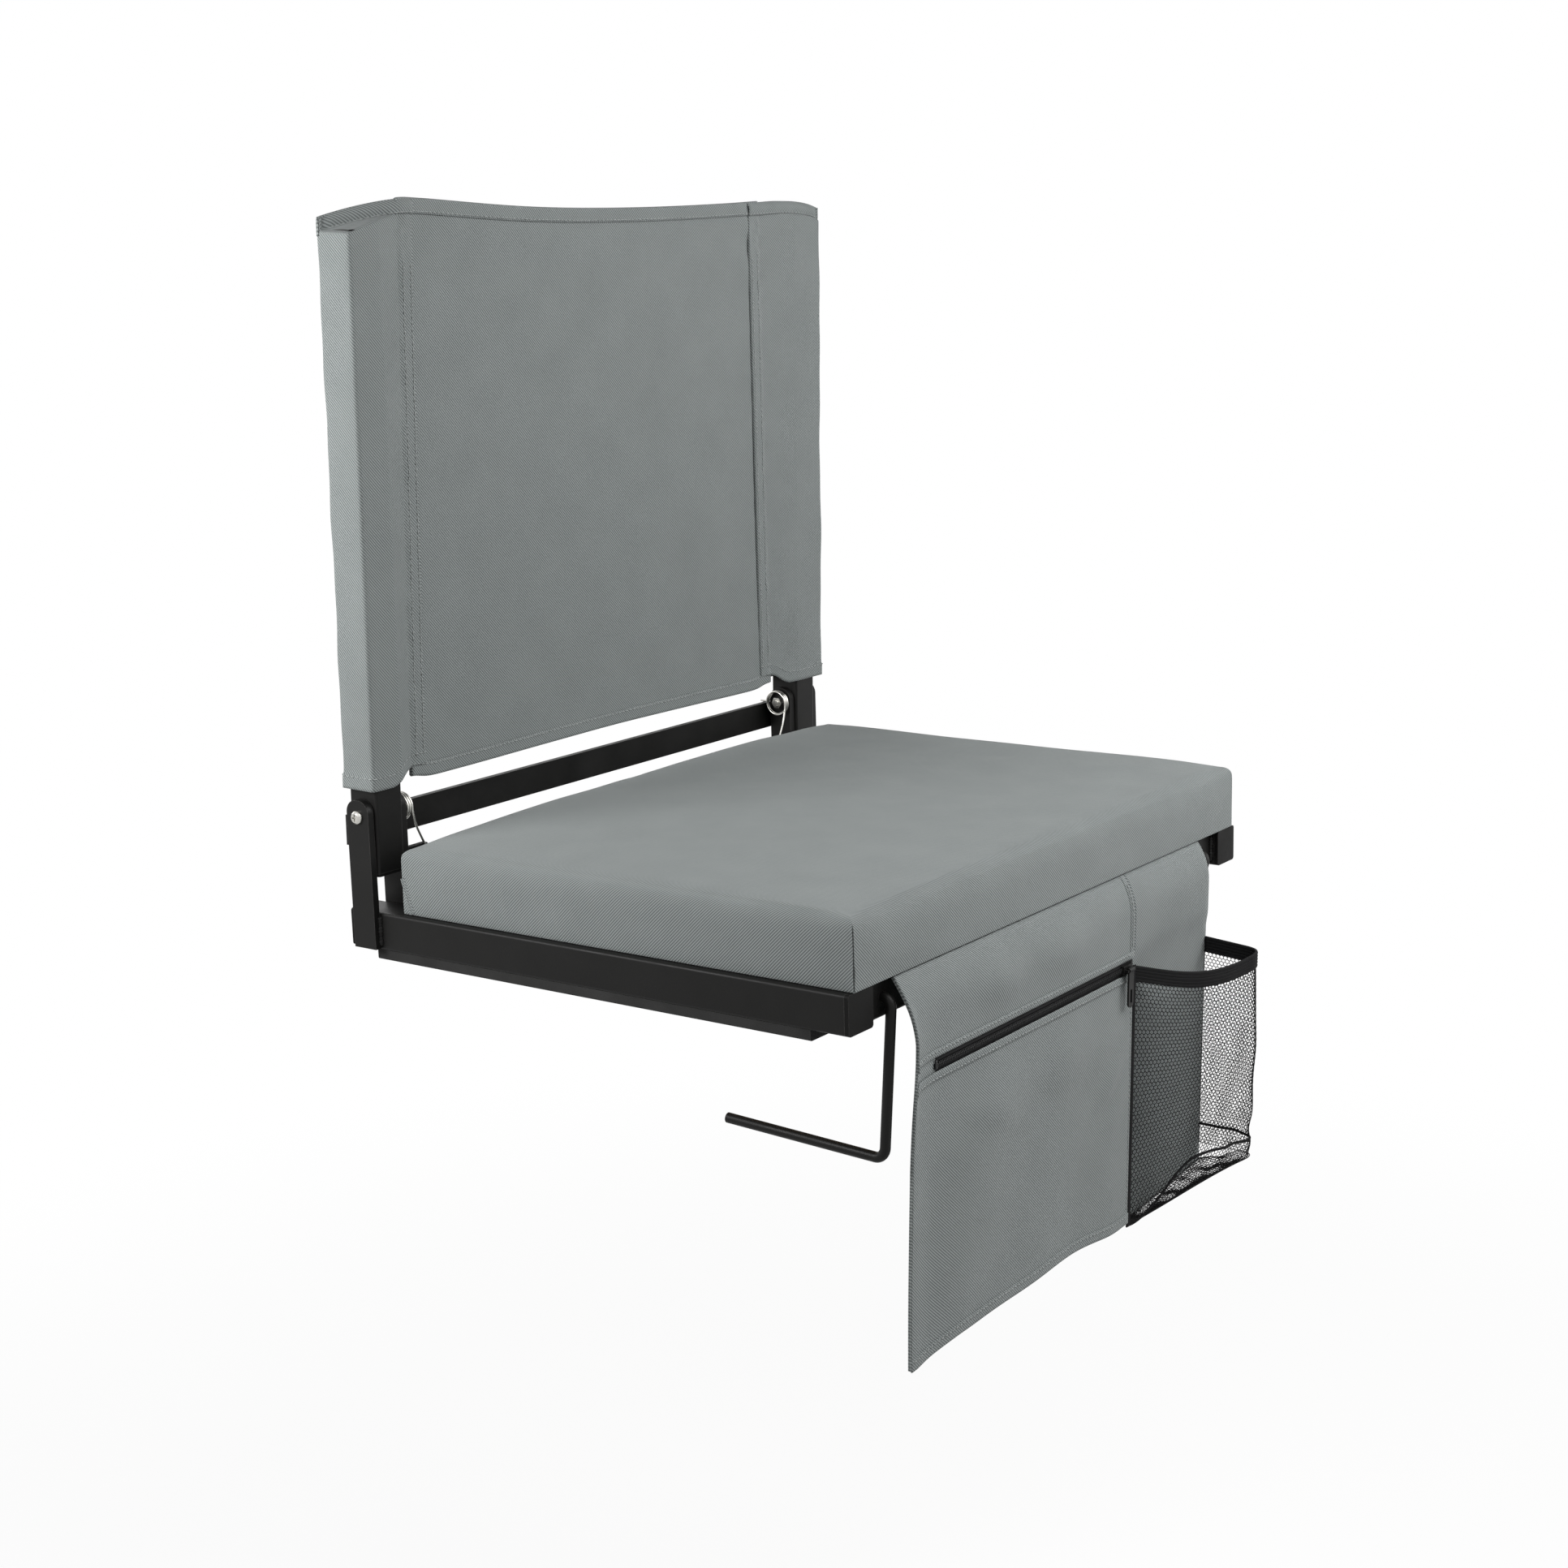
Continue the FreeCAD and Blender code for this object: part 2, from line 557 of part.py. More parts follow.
def spring_path(sign):
    """The torsion spring's wire round the pivot: a leg on the tab, the coil, a leg over the stop bar."""
    radius = size("spring_coil") / 2
    pitch = size("spring_pitch")
    wire = size("spring_wire")
    inner_face = size("frame_width") / 2 - size("tube_side") - size("bracket_thick")
    turns = SPRING_TURNS + 0.5 - SPRING_RELIEF
    first_x = inner_face - wire - pitch * turns

    def coil(turned):
        """Place and heading after a number of turns from the coil's front, over its top."""
        angle = 2 * math.pi * turned
        spot = V(sign * (first_x + pitch * turned), -radius * math.cos(angle), radius * math.sin(angle))
        around = 2 * math.pi * radius
        heading = V(sign * pitch, around * math.sin(angle), around * math.cos(angle))
        heading.normalize()
        return spot, heading

    tab_tip = inner_face - size("tab_reach") + size("tab_slant")
    foot = V(sign * tab_tip, -radius, -size("tab_drop") - size("tab_height") / 2)
    tilt = math.radians(SPRING_TILT)
    rising = V(sign * math.sin(tilt), 0, math.cos(tilt))
    stations = [(foot, rising)]
    quarters = math.floor(turns * 4)
    stations += [coil(step / 4) for step in range(quarters + 1)]
    stations.append(coil(turns))
    upright_half = size("tube_side") / 2 - size("side_gap")
    bar_reach = upright_half + size("bar_thick")
    lean_lift = bar_reach * math.sin(math.radians(size("back_lean_angle")))
    leg_z = wire / 2 + size("spring_gap") + lean_lift - size("bar_drop")
    bend_end = V(stations[-1][0].x, upright_half, leg_z)
    stations.append((bend_end, V(0, 1, 0)))
    edges = []
    for (start, leaving), (end, arriving) in zip(stations, stations[1:]):
        edges += biarc(start, leaving, end, arriving)
    leg_end = bend_end + V(0, size("bar_thick") + wire, 0)
    edges.append(Part.makeLine(bend_end, leg_end))
    return edges, foot, rising


def torsion_spring(side, sign):
    """One unbroken wire, swept along its path."""
    edges, foot, rising = spring_path(sign)
    section = Part.Wire([Part.Circle(foot, rising, size("spring_wire") / 2).toShape()])
    sweep = Part.BRepOffsetAPI.MakePipeShell(Part.Wire(edges))
    sweep.add(section)
    sweep.build()
    sweep.makeSolid()
    spring = new_feature(f"torsion_spring_{side}", sweep.shape())
    place(spring, "0", PIVOT_Y, PIVOT_Z)
    print(f"torsion_spring_{side}: least gap to itself {least_gap(edges):.2f} mm")


def least_gap(edges):
    """Least distance between turns of the spring's wire, measured on points along its path."""
    points = []
    length = 0
    for edge in edges:
        for point in edge.discretize(POINTS_PER_ARC)[1:]:
            length += (point - points[-1][1]).Length if points else 0
            points.append((length, point))
    apart = size("spring_coil")
    gaps = []
    for number, (place_on_wire, point) in enumerate(points):
        for further_on, other in points[number + 1:]:
            if further_on - place_on_wire > apart:
                gaps.append((point - other).Length)
    return min(gaps) - size("spring_wire")


# Back

def upright(side, sign):
    """Square tube of the back, drilled for its pivot bolt."""
    body = new_body(f"upright_{side}")
    section = sketch_on(body, "XY_Plane", lift="-Sizes.upright_below")
    rectangle(section, UPRIGHT_SIDE, UPRIGHT_SIDE)
    rectangle(section, UPRIGHT_BORE, UPRIGHT_BORE)
    tube = pad(body, section, "Sizes.upright_above + Sizes.upright_below", symmetric=False)
    round_outer_edges(body, tube, V(0, 0, 1), "Sizes.tube_corner")
    hole = sketch_on(body, "YZ_Plane")
    circle(hole, BOLT_HOLE)
    drill(body, hole)
    place_on_back(body, f"{sign} * {RAIL_X}")


def upright_plug(level, side, sign):
    """Plug in one end of an upright."""
    inward, end = {"upper": (-1, "Sizes.upright_above"), "lower": (1, "-Sizes.upright_below")}[level]
    body = end_plug(f"plug_{level}_{side}", "XY_Plane", V(0, 0, 1), UPRIGHT_SIDE, UPRIGHT_BORE,
                    "Sizes.plug_flange", inward, end)
    place_on_back(body, f"{sign} * {RAIL_X}")


def stop_bar():
    """Flat bar across the uprights' rear faces. It meets the brackets when the back leans back."""
    body = box_body(
        "stop_bar", "XZ_Plane", "Sizes.frame_width", "Sizes.bar_height", "Sizes.bar_thick",
        up="-Sizes.bar_drop - Sizes.bar_height / 2", lift=f"-({UPRIGHT_SIDE} + Sizes.bar_thick) / 2")
    place_on_back(body)


def back_sleeve(side, sign):
    """Fabric sleeve round an upright, drawn in flat to the seam and closed over the upright's top."""
    body = new_body(f"back_sleeve_{side}")
    outer_x = f"({RAIL_X} + {UPRIGHT_SIDE} / 2 + Sizes.sleeve_ease)"
    tube_x = f"({RAIL_X} - {UPRIGHT_SIDE} / 2)"
    half_depth = f"({UPRIGHT_SIDE} / 2 + Sizes.sleeve_ease)"
    seam_front = "(-Sizes.seam_forward - Sizes.cloth)"
    seam_rear = "(-Sizes.seam_forward + Sizes.cloth)"
    share = f"Sizes.seam_margin / ({tube_x} - {SEAM_X})"
    pinch_x = f"({SEAM_X} + Sizes.seam_margin)"
    pinch_front = f"{seam_front} - ({half_depth} + {seam_front}) * {share} + Sizes.cloth * {SLEEVE_PINCH}"
    pinch_rear = f"{seam_rear} + ({half_depth} - {seam_rear}) * {share} - Sizes.cloth * {SLEEVE_PINCH}"
    outside = [(outer_x, f"-{half_depth}"), (tube_x, f"-{half_depth}"), (SEAM_X, seam_front),
               (SEAM_X, seam_rear), (tube_x, half_depth), (outer_x, half_depth)]
    inner_x = f"{outer_x} - Sizes.cloth"
    inner_depth = f"({half_depth} - Sizes.cloth)"
    inside = [(inner_x, f"-{inner_depth}"), (tube_x, f"-{inner_depth}"), (pinch_x, pinch_front),
              (pinch_x, pinch_rear), (tube_x, inner_depth), (inner_x, inner_depth)]
    section = sketch_on(body, "XY_Plane", lift="Sizes.sleeve_rise")
    outline(section, [(f"{sign} * ({x})", y) for x, y in outside])
    pad(body, section, f"{SLEEVE_TOP} + Sizes.panel_head - Sizes.sleeve_rise", symmetric=False)
    hollow = sketch_on(body, "XY_Plane", lift="Sizes.sleeve_rise")
    outline(hollow, [(f"{sign} * ({x})", y) for x, y in inside])
    cavity = body.newObject("PartDesign::Pocket", body.Label + "_cavity")
    cavity.Profile = hollow
    cavity.Reversed = True
    cavity.setExpression("Length", f"{SLEEVE_TOP} - Sizes.cloth - Sizes.sleeve_rise")
    slope = sketch_on(body, "XZ_Plane")
    top = f"{SLEEVE_TOP} + Sizes.panel_head"
    past = f"{sign} * ({outer_x} + Sizes.sleeve_ease)"
    outline(slope, [(f"{sign} * {tube_x}", top), (past, SLEEVE_TOP), (past, top)])
    drill(body, slope)
    place_on_back(body)


def back_panel():
    """Fabric panel stretched between the sleeves' seams."""
    bottom = "(Sizes.sleeve_rise + Sizes.panel_lift)"
    top = f"({SLEEVE_TOP} + Sizes.panel_head)"
    body = box_body(
        "back_panel", "XZ_Plane", f"2 * {SEAM_X}", f"{top} - {bottom}", "Sizes.cloth",
        up=f"({top} + {bottom}) / 2", lift="Sizes.seam_forward")
    place_on_back(body)


# Seat cushion

def cushion_loop(inset, z):
    """Outline of the cushion at one height, its sides drawn in between rounded corners."""
    half = size("frame_width") / 2 - size("cushion_side_inset") - inset
    rail_end = size("rail_length") / 2 + size("cap_flange")
    front = -rail_end - size("cushion_overhang") + inset
    bracket_front = rail_end - size("pivot_inset") - size("bracket_width") / 2
    rear = bracket_front - size("cushion_rear_gap") - inset
    corner = size("cushion_corner")
    draw = size("cushion_draw")
    middle = (front + rear) / 2
    dip = corner * (1 - math.sqrt(0.5))
    ends = [(half - corner, front), (half, front + corner), (half, rear - corner), (half - corner, rear),
            (corner - half, rear), (-half, rear - corner), (-half, front + corner), (corner - half, front)]
    through = [(half - dip, front + dip), (half - draw, middle), (half - dip, rear - dip), (0, rear - draw),
               (dip - half, rear - dip), (draw - half, middle), (dip - half, front + dip), (0, front + draw)]
    edges = []
    for start, mid, end in zip(ends, through, ends[1:] + ends[:1]):
        edges.append(Part.Arc(V(*start, z), V(*mid, z), V(*end, z)).toShape())
    return Part.Wire(edges)


def cushion_form(skin, bottom):
    """The cushion's closed form, a skin's thickness inside the cover's outside."""
    height = size("cushion_height") - skin
    rounding = size("cushion_round")
    crown = size("cushion_crown")
    reach = (size("rail_length") / 2) * CROWN_REACH
    levels = [(0, bottom), (0, height - rounding), (rounding * ROUND_IN, height - rounding * ROUND_IN),
              (rounding, height), (rounding + reach / 2, height + crown * CROWN_HALFWAY),
              (rounding + reach, height + crown)]
    return Part.makeLoft([cushion_loop(skin + inset, z) for inset, z in levels], True, True)


def screw_spots():
    """Places of the four board screws."""
    half = size("screw_spread") / 2
    rail_end = size("rail_length") / 2 + size("cap_flange")
    front = size("front_setback") + size("tube_side") / 2 - rail_end
    rear = rail_end - size("rear_setback") - size("tube_side") / 2
    return [V(x, y, 0) for y in (front, rear) for x in (-half, half)]


def seat_cover():
    """Sewn cover: a skin over the foam, turned under the board all round."""
    cloth = size("cloth")
    skin = cushion_form(0, 0).cut(cushion_form(cloth, cloth))
    opening = Part.Face(cushion_loop(size("cover_turn"), 0)).extrude(V(0, 0, cloth))
    shape = skin.cut(opening)
    for spot in screw_spots():
        shape = shape.cut(Part.makeCylinder(size("screw_dia") / 2 + size("screw_clearance"), cloth, spot))
    place(new_feature("seat_cover", shape), z=RAIL_TOP)


def seat_foam():
    """Foam block between the board and the cover."""
    cloth = size("cloth")
    shape = cushion_form(cloth + size("foam_gap"), cloth + size("board_thick"))
    place(new_feature("seat_foam", shape), z=RAIL_TOP)


def seat_board():
    """Plywood board that the cover is stapled to, drilled for its screws."""
    body = new_body("seat_board")
    inset = "(Sizes.cloth + Sizes.board_margin)"
    front = f"(-{RAIL_END} - Sizes.cushion_overhang + {inset})"
    rear = f"({PIVOT_Y} - Sizes.bracket_width / 2 - Sizes.cushion_rear_gap - {inset})"
    face = sketch_on(body, "XY_Plane", up=f"({front} + {rear}) / 2")
    rectangle(face, f"Sizes.frame_width - 2 * Sizes.cushion_side_inset - 2 * {inset}", f"{rear} - {front}")
    board = pad(body, face, "Sizes.board_thick", symmetric=False)
    corners = [name for name, middle in straight_edges(board, V(0, 0, 1))]
    round_edges(body, board, corners, "Sizes.cushion_corner")
    for y in (FRONT_TUBE_Y, REAR_TUBE_Y):
        holes = sketch_on(body, "XY_Plane", up=y)
        circle_pair(holes, "Sizes.screw_spread", "Sizes.screw_dia + 2 * Sizes.bolt_clearance")
        pilot = body.newObject("PartDesign::Pocket", "seat_board_pilot")
        pilot.Profile = holes
        pilot.Reversed = True
        pilot.setExpression("Length", "Sizes.screw_bite + Sizes.bolt_clearance")
    place(body, z=BOARD_Z)


def board_screw(number, x, y):
    """Screw from under a cross tube into the board."""
    body = new_body(f"board_screw_{number}")
    head = sketch_on(body, "XY_Plane")
    circle(head, "Sizes.screw_head_dia")
    pad(body, head, "Sizes.screw_head_height", symmetric=False)
    shank = sketch_on(body, "XY_Plane", lift="Sizes.screw_head_height")
    circle(shank, "Sizes.screw_dia")
    pad(body, shank, "Sizes.tube_side + Sizes.cloth + Sizes.screw_bite", symmetric=False)
    place(body, x, y, "Sizes.runner_height - Sizes.screw_head_height")


def flap_hem():
    """Hem under the cushion's front edge that the flap hangs from."""
    behind = f"Sizes.hem_depth / 2 - {RAIL_END}"
    box_body(
        "flap_hem", "XY_Plane", "Sizes.flap_width", "Sizes.hem_depth", "Sizes.cloth",
        across="Sizes.flap_offset", up=behind, lift=f"{RAIL_TOP} - Sizes.cloth / 2")


# Bench hooks

def hook_spine(sketch):
    """Centre line of the rod: the pivot leg, the front leg and the lower leg with two bends."""
    bend = size("hook_bend")
    rise = math.radians(size("hook_rise_angle"))
    tail = V(size("tube_side") / 2 + size("hook_tail"), 0)
    upper_start = V(-size("tube_side") / 2, 0)
    upper_centre = upper_start - V(0, bend)
    corner = upper_start + V(-bend, -size("hook_drop"))
    tip = corner + V(size("hook_reach"), size("hook_reach") * math.tan(rise))
    setback = bend * math.tan((math.pi / 2 - rise) / 2)
    drop_end = corner + V(0, setback)
    leg_start = corner + V(math.cos(rise), math.sin(rise)) * setback
    lower_centre = drop_end + V(bend, 0)
    outward = V(-bend, bend) * math.sqrt(0.5)
    toward = corner - lower_centre
    toward.normalize()
    sketch.addGeometry(Part.LineSegment(tail, upper_start), False)
    sketch.addGeometry(Part.Arc(upper_start, upper_centre + outward, upper_centre - V(bend, 0)), False)
    sketch.addGeometry(Part.LineSegment(upper_centre - V(bend, 0), drop_end), False)
    sketch.addGeometry(Part.Arc(drop_end, lower_centre + toward * bend, leg_start), False)
    sketch.addGeometry(Part.LineSegment(leg_start, tip), False)
    mark = sketch.addGeometry(Part.Point(corner), True)
    for piece in range(4):
        hold(sketch, "Tangent", piece, 2, piece + 1, 1)
    hold(sketch, "PointOnObject", 0, 1, -1)
    hold(sketch, "Horizontal", 0)
    hold(sketch, "Vertical", 2)
    hold(sketch, "PointOnObject", mark, 1, 4)
    hold(sketch, "PointOnObject", mark, 1, 2)
    for bent in (1, 3):
        fix(sketch, "Radius", bent, to="Sizes.hook_bend", start=bend)
    fix(sketch, "DistanceX", -1, 1, 0, 1, to="Sizes.tube_side / 2 + Sizes.hook_tail", start=tail.x)
    fix(sketch, "DistanceX", 0, 2, -1, 1, to="Sizes.tube_side / 2", start=-upper_start.x)
    fix(sketch, "DistanceY", mark, 1, -1, 1, to="Sizes.hook_drop", start=-corner.y)
    fix(sketch, "DistanceX", mark, 1, 4, 2, to="Sizes.hook_reach", start=size("hook_reach"))
    rising = "Sizes.hook_reach * tan(Sizes.hook_rise_angle * 1 deg)"
    fix(sketch, "DistanceY", mark, 1, 4, 2, to=rising, start=tip.y - corner.y)


def bench_hook(side, sign, lean):
    """Bent rod that turns in the front cross tube and grips the bench plank from below."""
    body = new_body(f"bench_hook_{side}")
    spine = sketch_on(body, "YZ_Plane")
    hook_spine(spine)
    section = sketch_on(body, "XZ_Plane", lift="-(Sizes.tube_side / 2 + Sizes.hook_tail)")
    circle(section, "Sizes.hook_dia")
    rod = body.newObject("PartDesign::AdditivePipe", body.Label + "_rod")
    rod.Profile = section
    rod.Spine = (spine, [f"Edge{number}" for number in range(1, 6)])
    turn(body, V(0, 1, 0), lean)
    place(body, f"{sign} * {HOOK_X}", FRONT_TUBE_Y, RAIL_Z)


def hook_washer(side, sign):
    """Push-on washer that keeps the hook in the cross tube."""
    body = new_body(f"hook_washer_{side}")
    behind = "Sizes.tube_side / 2 + Sizes.push_nut_gap + Sizes.push_nut_thick / 2"
    face = sketch_on(body, "XZ_Plane", lift=f"-({behind})")
    circle(face, "Sizes.push_nut_dia")
    circle(face, HOOK_HOLE)
    pad(body, face, "Sizes.push_nut_thick")
    place(body, f"{sign} * {HOOK_X}", FRONT_TUBE_Y, RAIL_Z)


# Front flap

def flap_panel():
    """Hanging panel that bulges out from under the cushion and then falls straight."""
    body = new_body("flap_panel")
    profile = sketch_on(body, "YZ_Plane")
    turned = math.radians(size("flap_bulge_angle"))
    outer = size("flap_bulge") + size("cloth") / 2
    inner = size("flap_bulge") - size("cloth") / 2
    centre = V(size("flap_bulge") - size("flap_forward"), -size("flap_top_gap") - outer * math.sin(turned))
    bottom = V(0, -size("flap_drop") - centre.y)

    def around(radius, share):
        angle = turned * share
        return centre + V(-radius * math.cos(angle), radius * math.sin(angle))

    ends = []
    for radius in (outer, inner):
        profile.addGeometry(Part.Arc(around(radius, 1), around(radius, 0.5), around(radius, 0)), False)
        ends.append((around(radius, 1), around(radius, 0), around(radius, 0) + bottom))
    (outer_top, outer_side, outer_foot), (inner_top, inner_side, inner_foot) = ends
    profile.addGeometry(Part.LineSegment(outer_side, outer_foot), False)
    profile.addGeometry(Part.LineSegment(outer_foot, inner_foot), False)
    profile.addGeometry(Part.LineSegment(inner_foot, inner_side), False)
    profile.addGeometry(Part.LineSegment(inner_top, outer_top), False)
    for first, first_end, second, second_end in ((0, 2, 2, 1), (2, 2, 3, 1), (3, 2, 4, 1), (4, 2, 1, 2),
                                                 (1, 1, 5, 1), (5, 2, 0, 1), (0, 3, 1, 3)):
        hold(profile, "Coincident", first, first_end, second, second_end)
    hold(profile, "Vertical", 2)
    hold(profile, "Vertical", 4)
    hold(profile, "Horizontal", 3)
    hold(profile, "Horizontal", 0, 3, 0, 2)
    hold(profile, "Horizontal", 1, 3, 1, 2)
    high = "(Sizes.flap_bulge + Sizes.cloth / 2) * sin(Sizes.flap_bulge_angle * 1 deg)"
    low = "(Sizes.flap_bulge - Sizes.cloth / 2) * sin(Sizes.flap_bulge_angle * 1 deg)"
    fix(profile, "Radius", 0, to="Sizes.flap_bulge + Sizes.cloth / 2", start=outer)
    fix(profile, "Radius", 1, to="Sizes.flap_bulge - Sizes.cloth / 2", start=inner)
    fix(profile, "DistanceX", -1, 1, 0, 3, to="Sizes.flap_bulge - Sizes.flap_forward", start=centre.x)
    fix(profile, "DistanceY", 0, 3, -1, 1, to=f"Sizes.flap_top_gap + {high}", start=-centre.y)
    fix(profile, "DistanceY", 0, 3, 0, 1, to=high, start=outer_top.y - centre.y)
    fix(profile, "DistanceY", 1, 3, 1, 1, to=low, start=inner_top.y - centre.y)
    fix(profile, "DistanceY", 2, 2, -1, 1, to="Sizes.flap_drop", start=size("flap_drop"))
    pad(body, profile, "Sizes.flap_width")
    place_on_flap(body, "Sizes.flap_offset")


def zip_pocket_panel():
    """Front of the zipped pocket, sewn to the flap from the zip down."""
    top = "-(Sizes.zip_drop + Sizes.zip_tape / 2)"
    bottom = "-Sizes.flap_drop"
    body = box_body(
        "zip_pocket_panel", "XZ_Plane", f"{POCKET_SEAM} - {FLAP_LEFT}", f"{top} - ({bottom})", "Sizes.cloth",
        across=f"({POCKET_SEAM} + {FLAP_LEFT}) / 2", up=f"({top} + {bottom}) / 2",
        lift=f"{FLAP_FACE} + Sizes.cloth / 2")
    place_on_flap(body)


def zip_strip(label, length, height, thick, behind):
    """A strip of the zip along the pocket's mouth."""
    body = box_body(
        label, "XZ_Plane", length, height, thick,
        across=ZIP_MIDDLE, up="-Sizes.zip_drop", lift=f"{FLAP_FACE} + {behind} + {thick} / 2")
    place_on_flap(body)


def zip_end_stop(label, facing):
    """Block at one end of the zip chain."""
    body = box_body(
        label, "XZ_Plane", "Sizes.zip_stop", "Sizes.zip_tooth + Sizes.zip_stop", "Sizes.zip_tooth_thick",
        across=f"{ZIP_MIDDLE} + ({facing}) * (Sizes.zip_length + Sizes.zip_stop) / 2", up="-Sizes.zip_drop",
        lift=f"{FLAP_FACE} + Sizes.zip_tape_thick + Sizes.zip_tooth_thick / 2")
    place_on_flap(body)


def zip_slider():
    """Channel over the chain with a bail: two posts and the bar the pull hangs from."""
    body = new_body("zip_slider")
    section = sketch_on(body, "YZ_Plane", across="0", up="-Sizes.zip_drop")
    rear = f"-({FLAP_FACE} + Sizes.zip_tape_thick + Sizes.slider_gap)"
    roof = f"-({CHAIN_FACE} + Sizes.slider_gap)"
    face = f"-{SLIDER_FACE}"
    inside = "(Sizes.zip_tooth / 2 + Sizes.slider_gap)"
    outside = f"({inside} + Sizes.slider_wall)"
    outline(section, [(rear, outside), (face, outside), (face, f"-{outside}"), (rear, f"-{outside}"),
                      (rear, f"-{inside}"), (roof, f"-{inside}"), (roof, inside), (rear, inside)])
    pad(body, section, "Sizes.slider_length")
    post_end = f"({BAIL_Y} + Sizes.bail_dia / 2)"
    post_middle = f"-({SLIDER_FACE} + {post_end}) / 2"
    for edge in (-1, 1):
        beside = f"{edge} * (Sizes.bail_span + Sizes.slider_wall) / 2"
        post = sketch_on(body, "YZ_Plane", across=post_middle, up="-Sizes.zip_drop", lift=beside)
        rectangle(post, f"{post_end} - {SLIDER_FACE}", "Sizes.bail_dia")
        pad(body, post, "Sizes.slider_wall")
    bar = sketch_on(body, "YZ_Plane", across=f"-{BAIL_Y}", up="-Sizes.zip_drop")
    circle(bar, "Sizes.bail_dia")
    pad(body, bar, "Sizes.bail_span + Sizes.slider_wall")
    place_on_flap(body, SLIDER_X)


def zip_pull():
    """Pull with a rolled eye round the bail bar and a slot in its lower end."""
    body = new_body("zip_pull")
    eye_wall = f"({EYE_DIA} + 2 * Sizes.pull_thick / 2)"
    at_bar = {"across": f"-{BAIL_Y}", "up": "-Sizes.zip_drop"}
    eye = sketch_on(body, "YZ_Plane", **at_bar)
    circle(eye, eye_wall)
    pad(body, eye, "Sizes.pull_width")
    blade = sketch_on(body, "XZ_Plane", up="-(Sizes.zip_drop + Sizes.pull_length / 2)", lift=BAIL_Y)
    rectangle(blade, "Sizes.pull_width", "Sizes.pull_length")
    plate = pad(body, blade, "Sizes.pull_thick")
    edges = straight_edges(plate, V(0, 1, 0))
    lowest = min(middle.z for name, middle in edges)
    corners = [name for name, middle in edges if middle.z < lowest + NEAR]
    round_edges(body, plate, corners, f"Sizes.pull_width * {PULL_ROUND}")
    slot_middle = f"-(Sizes.zip_drop + Sizes.pull_length * {SLOT_PLACE})"
    slot = sketch_on(body, "XZ_Plane", up=slot_middle, lift=BAIL_Y)
    rectangle(slot, f"Sizes.pull_width * {SLOT_WIDTH}", f"Sizes.pull_length * {SLOT_LENGTH}")
    drill(body, slot)
    bore = sketch_on(body, "YZ_Plane", **at_bar)
    circle(bore, EYE_DIA)
    drill(body, bore)
    place_on_flap(body, SLIDER_X)


def pocket_outline(sketch):
    """Plan of the mesh pocket: a bowed front from the seam, and a side at the flap's right edge."""
    right = size("flap_offset") + size("flap_width") / 2
    seam = right - size("net_width")
    face = -size("flap_forward") - size("cloth") / 2
    front = face - size("net_depth")
    start = V(seam, face)
    end = V(right, front)
    chord = end - start
    bow = size("net_front_radius")
    rise = bow - math.sqrt(bow * bow - chord.Length ** 2 / 4)
    out = V(chord.y, -chord.x)
    out.normalize()
    sketch.addGeometry(Part.Arc(start, (start + end) * 0.5 + out * rise, end), False)
    sketch.addGeometry(Part.LineSegment(end, V(right, face)), False)
    sketch.addGeometry(Part.LineSegment(V(right, face), start), False)
    for piece in range(3):
        hold(sketch, "Coincident", piece, 2, (piece + 1) % 3, 1)
    hold(sketch, "Vertical", 1)
    hold(sketch, "Horizontal", 2)
    fix(sketch, "Radius", 0, to="Sizes.net_front_radius", start=bow)
    fix(sketch, "DistanceX", -1, 1, 0, 1, to=POCKET_SEAM, start=seam)
    fix(sketch, "DistanceX", -1, 1, 0, 2, to=FLAP_RIGHT, start=right)
    fix(sketch, "DistanceY", 0, 1, -1, 1, to=FLAP_FACE, start=-face)
    fix(sketch, "DistanceY", 0, 2, 0, 1, to="Sizes.net_depth", start=size("net_depth"))


def pocket_shell(label, top, bottom, thick, rise):
    """A wall that follows the mesh pocket's plan, open at the top and against the flap.

    With a rise it keeps a floor, which slopes up from the seam. Without one it has none."""
    body = new_body(label)
    plan = sketch_on(body, "XY_Plane", lift=f"-({bottom})")
    pocket_outline(plan)
    block = pad(body, plan, f"({bottom}) - ({top})", symmetric=False)
    edges = straight_edges(block, V(0, 0, 1))
    edges.sort(key=lambda edge: edge[1].y)
    block = round_edges(body, block, [edges[0][0]], "Sizes.net_corner")
    if rise:
        wedge = sketch_on(body, "XZ_Plane")
        foot = f"-({bottom})"
        outline(wedge, [(POCKET_SEAM, foot), (FLAP_RIGHT, f"{foot} + {rise}"), (FLAP_RIGHT, foot)])
        block = drill(body, wedge)
    doc.recompute()
    shell = body.newObject("PartDesign::Thickness", label + "_shell")
    shell.Base = (block, open_faces(block.Shape, with_floor=not rise))
    shell.Mode = "Skin"
    shell.Join = "Intersection"
    shell.Reversed = True
    shell.setExpression("Value", thick)
    place_on_flap(body)


def open_faces(block, with_floor):
    """Names of the flat faces that a pocket leaves open: its back, its top and perhaps its floor."""
    names = []
    for number, face in enumerate(block.Faces, start=1):
        if not isinstance(face.Surface, Part.Plane):
            continue
        normal = face.normalAt(0, 0)
        floor = with_floor and normal.z < -PARALLEL
        if normal.y > PARALLEL or normal.z > PARALLEL or floor:
            names.append(f"Face{number}")
    return names


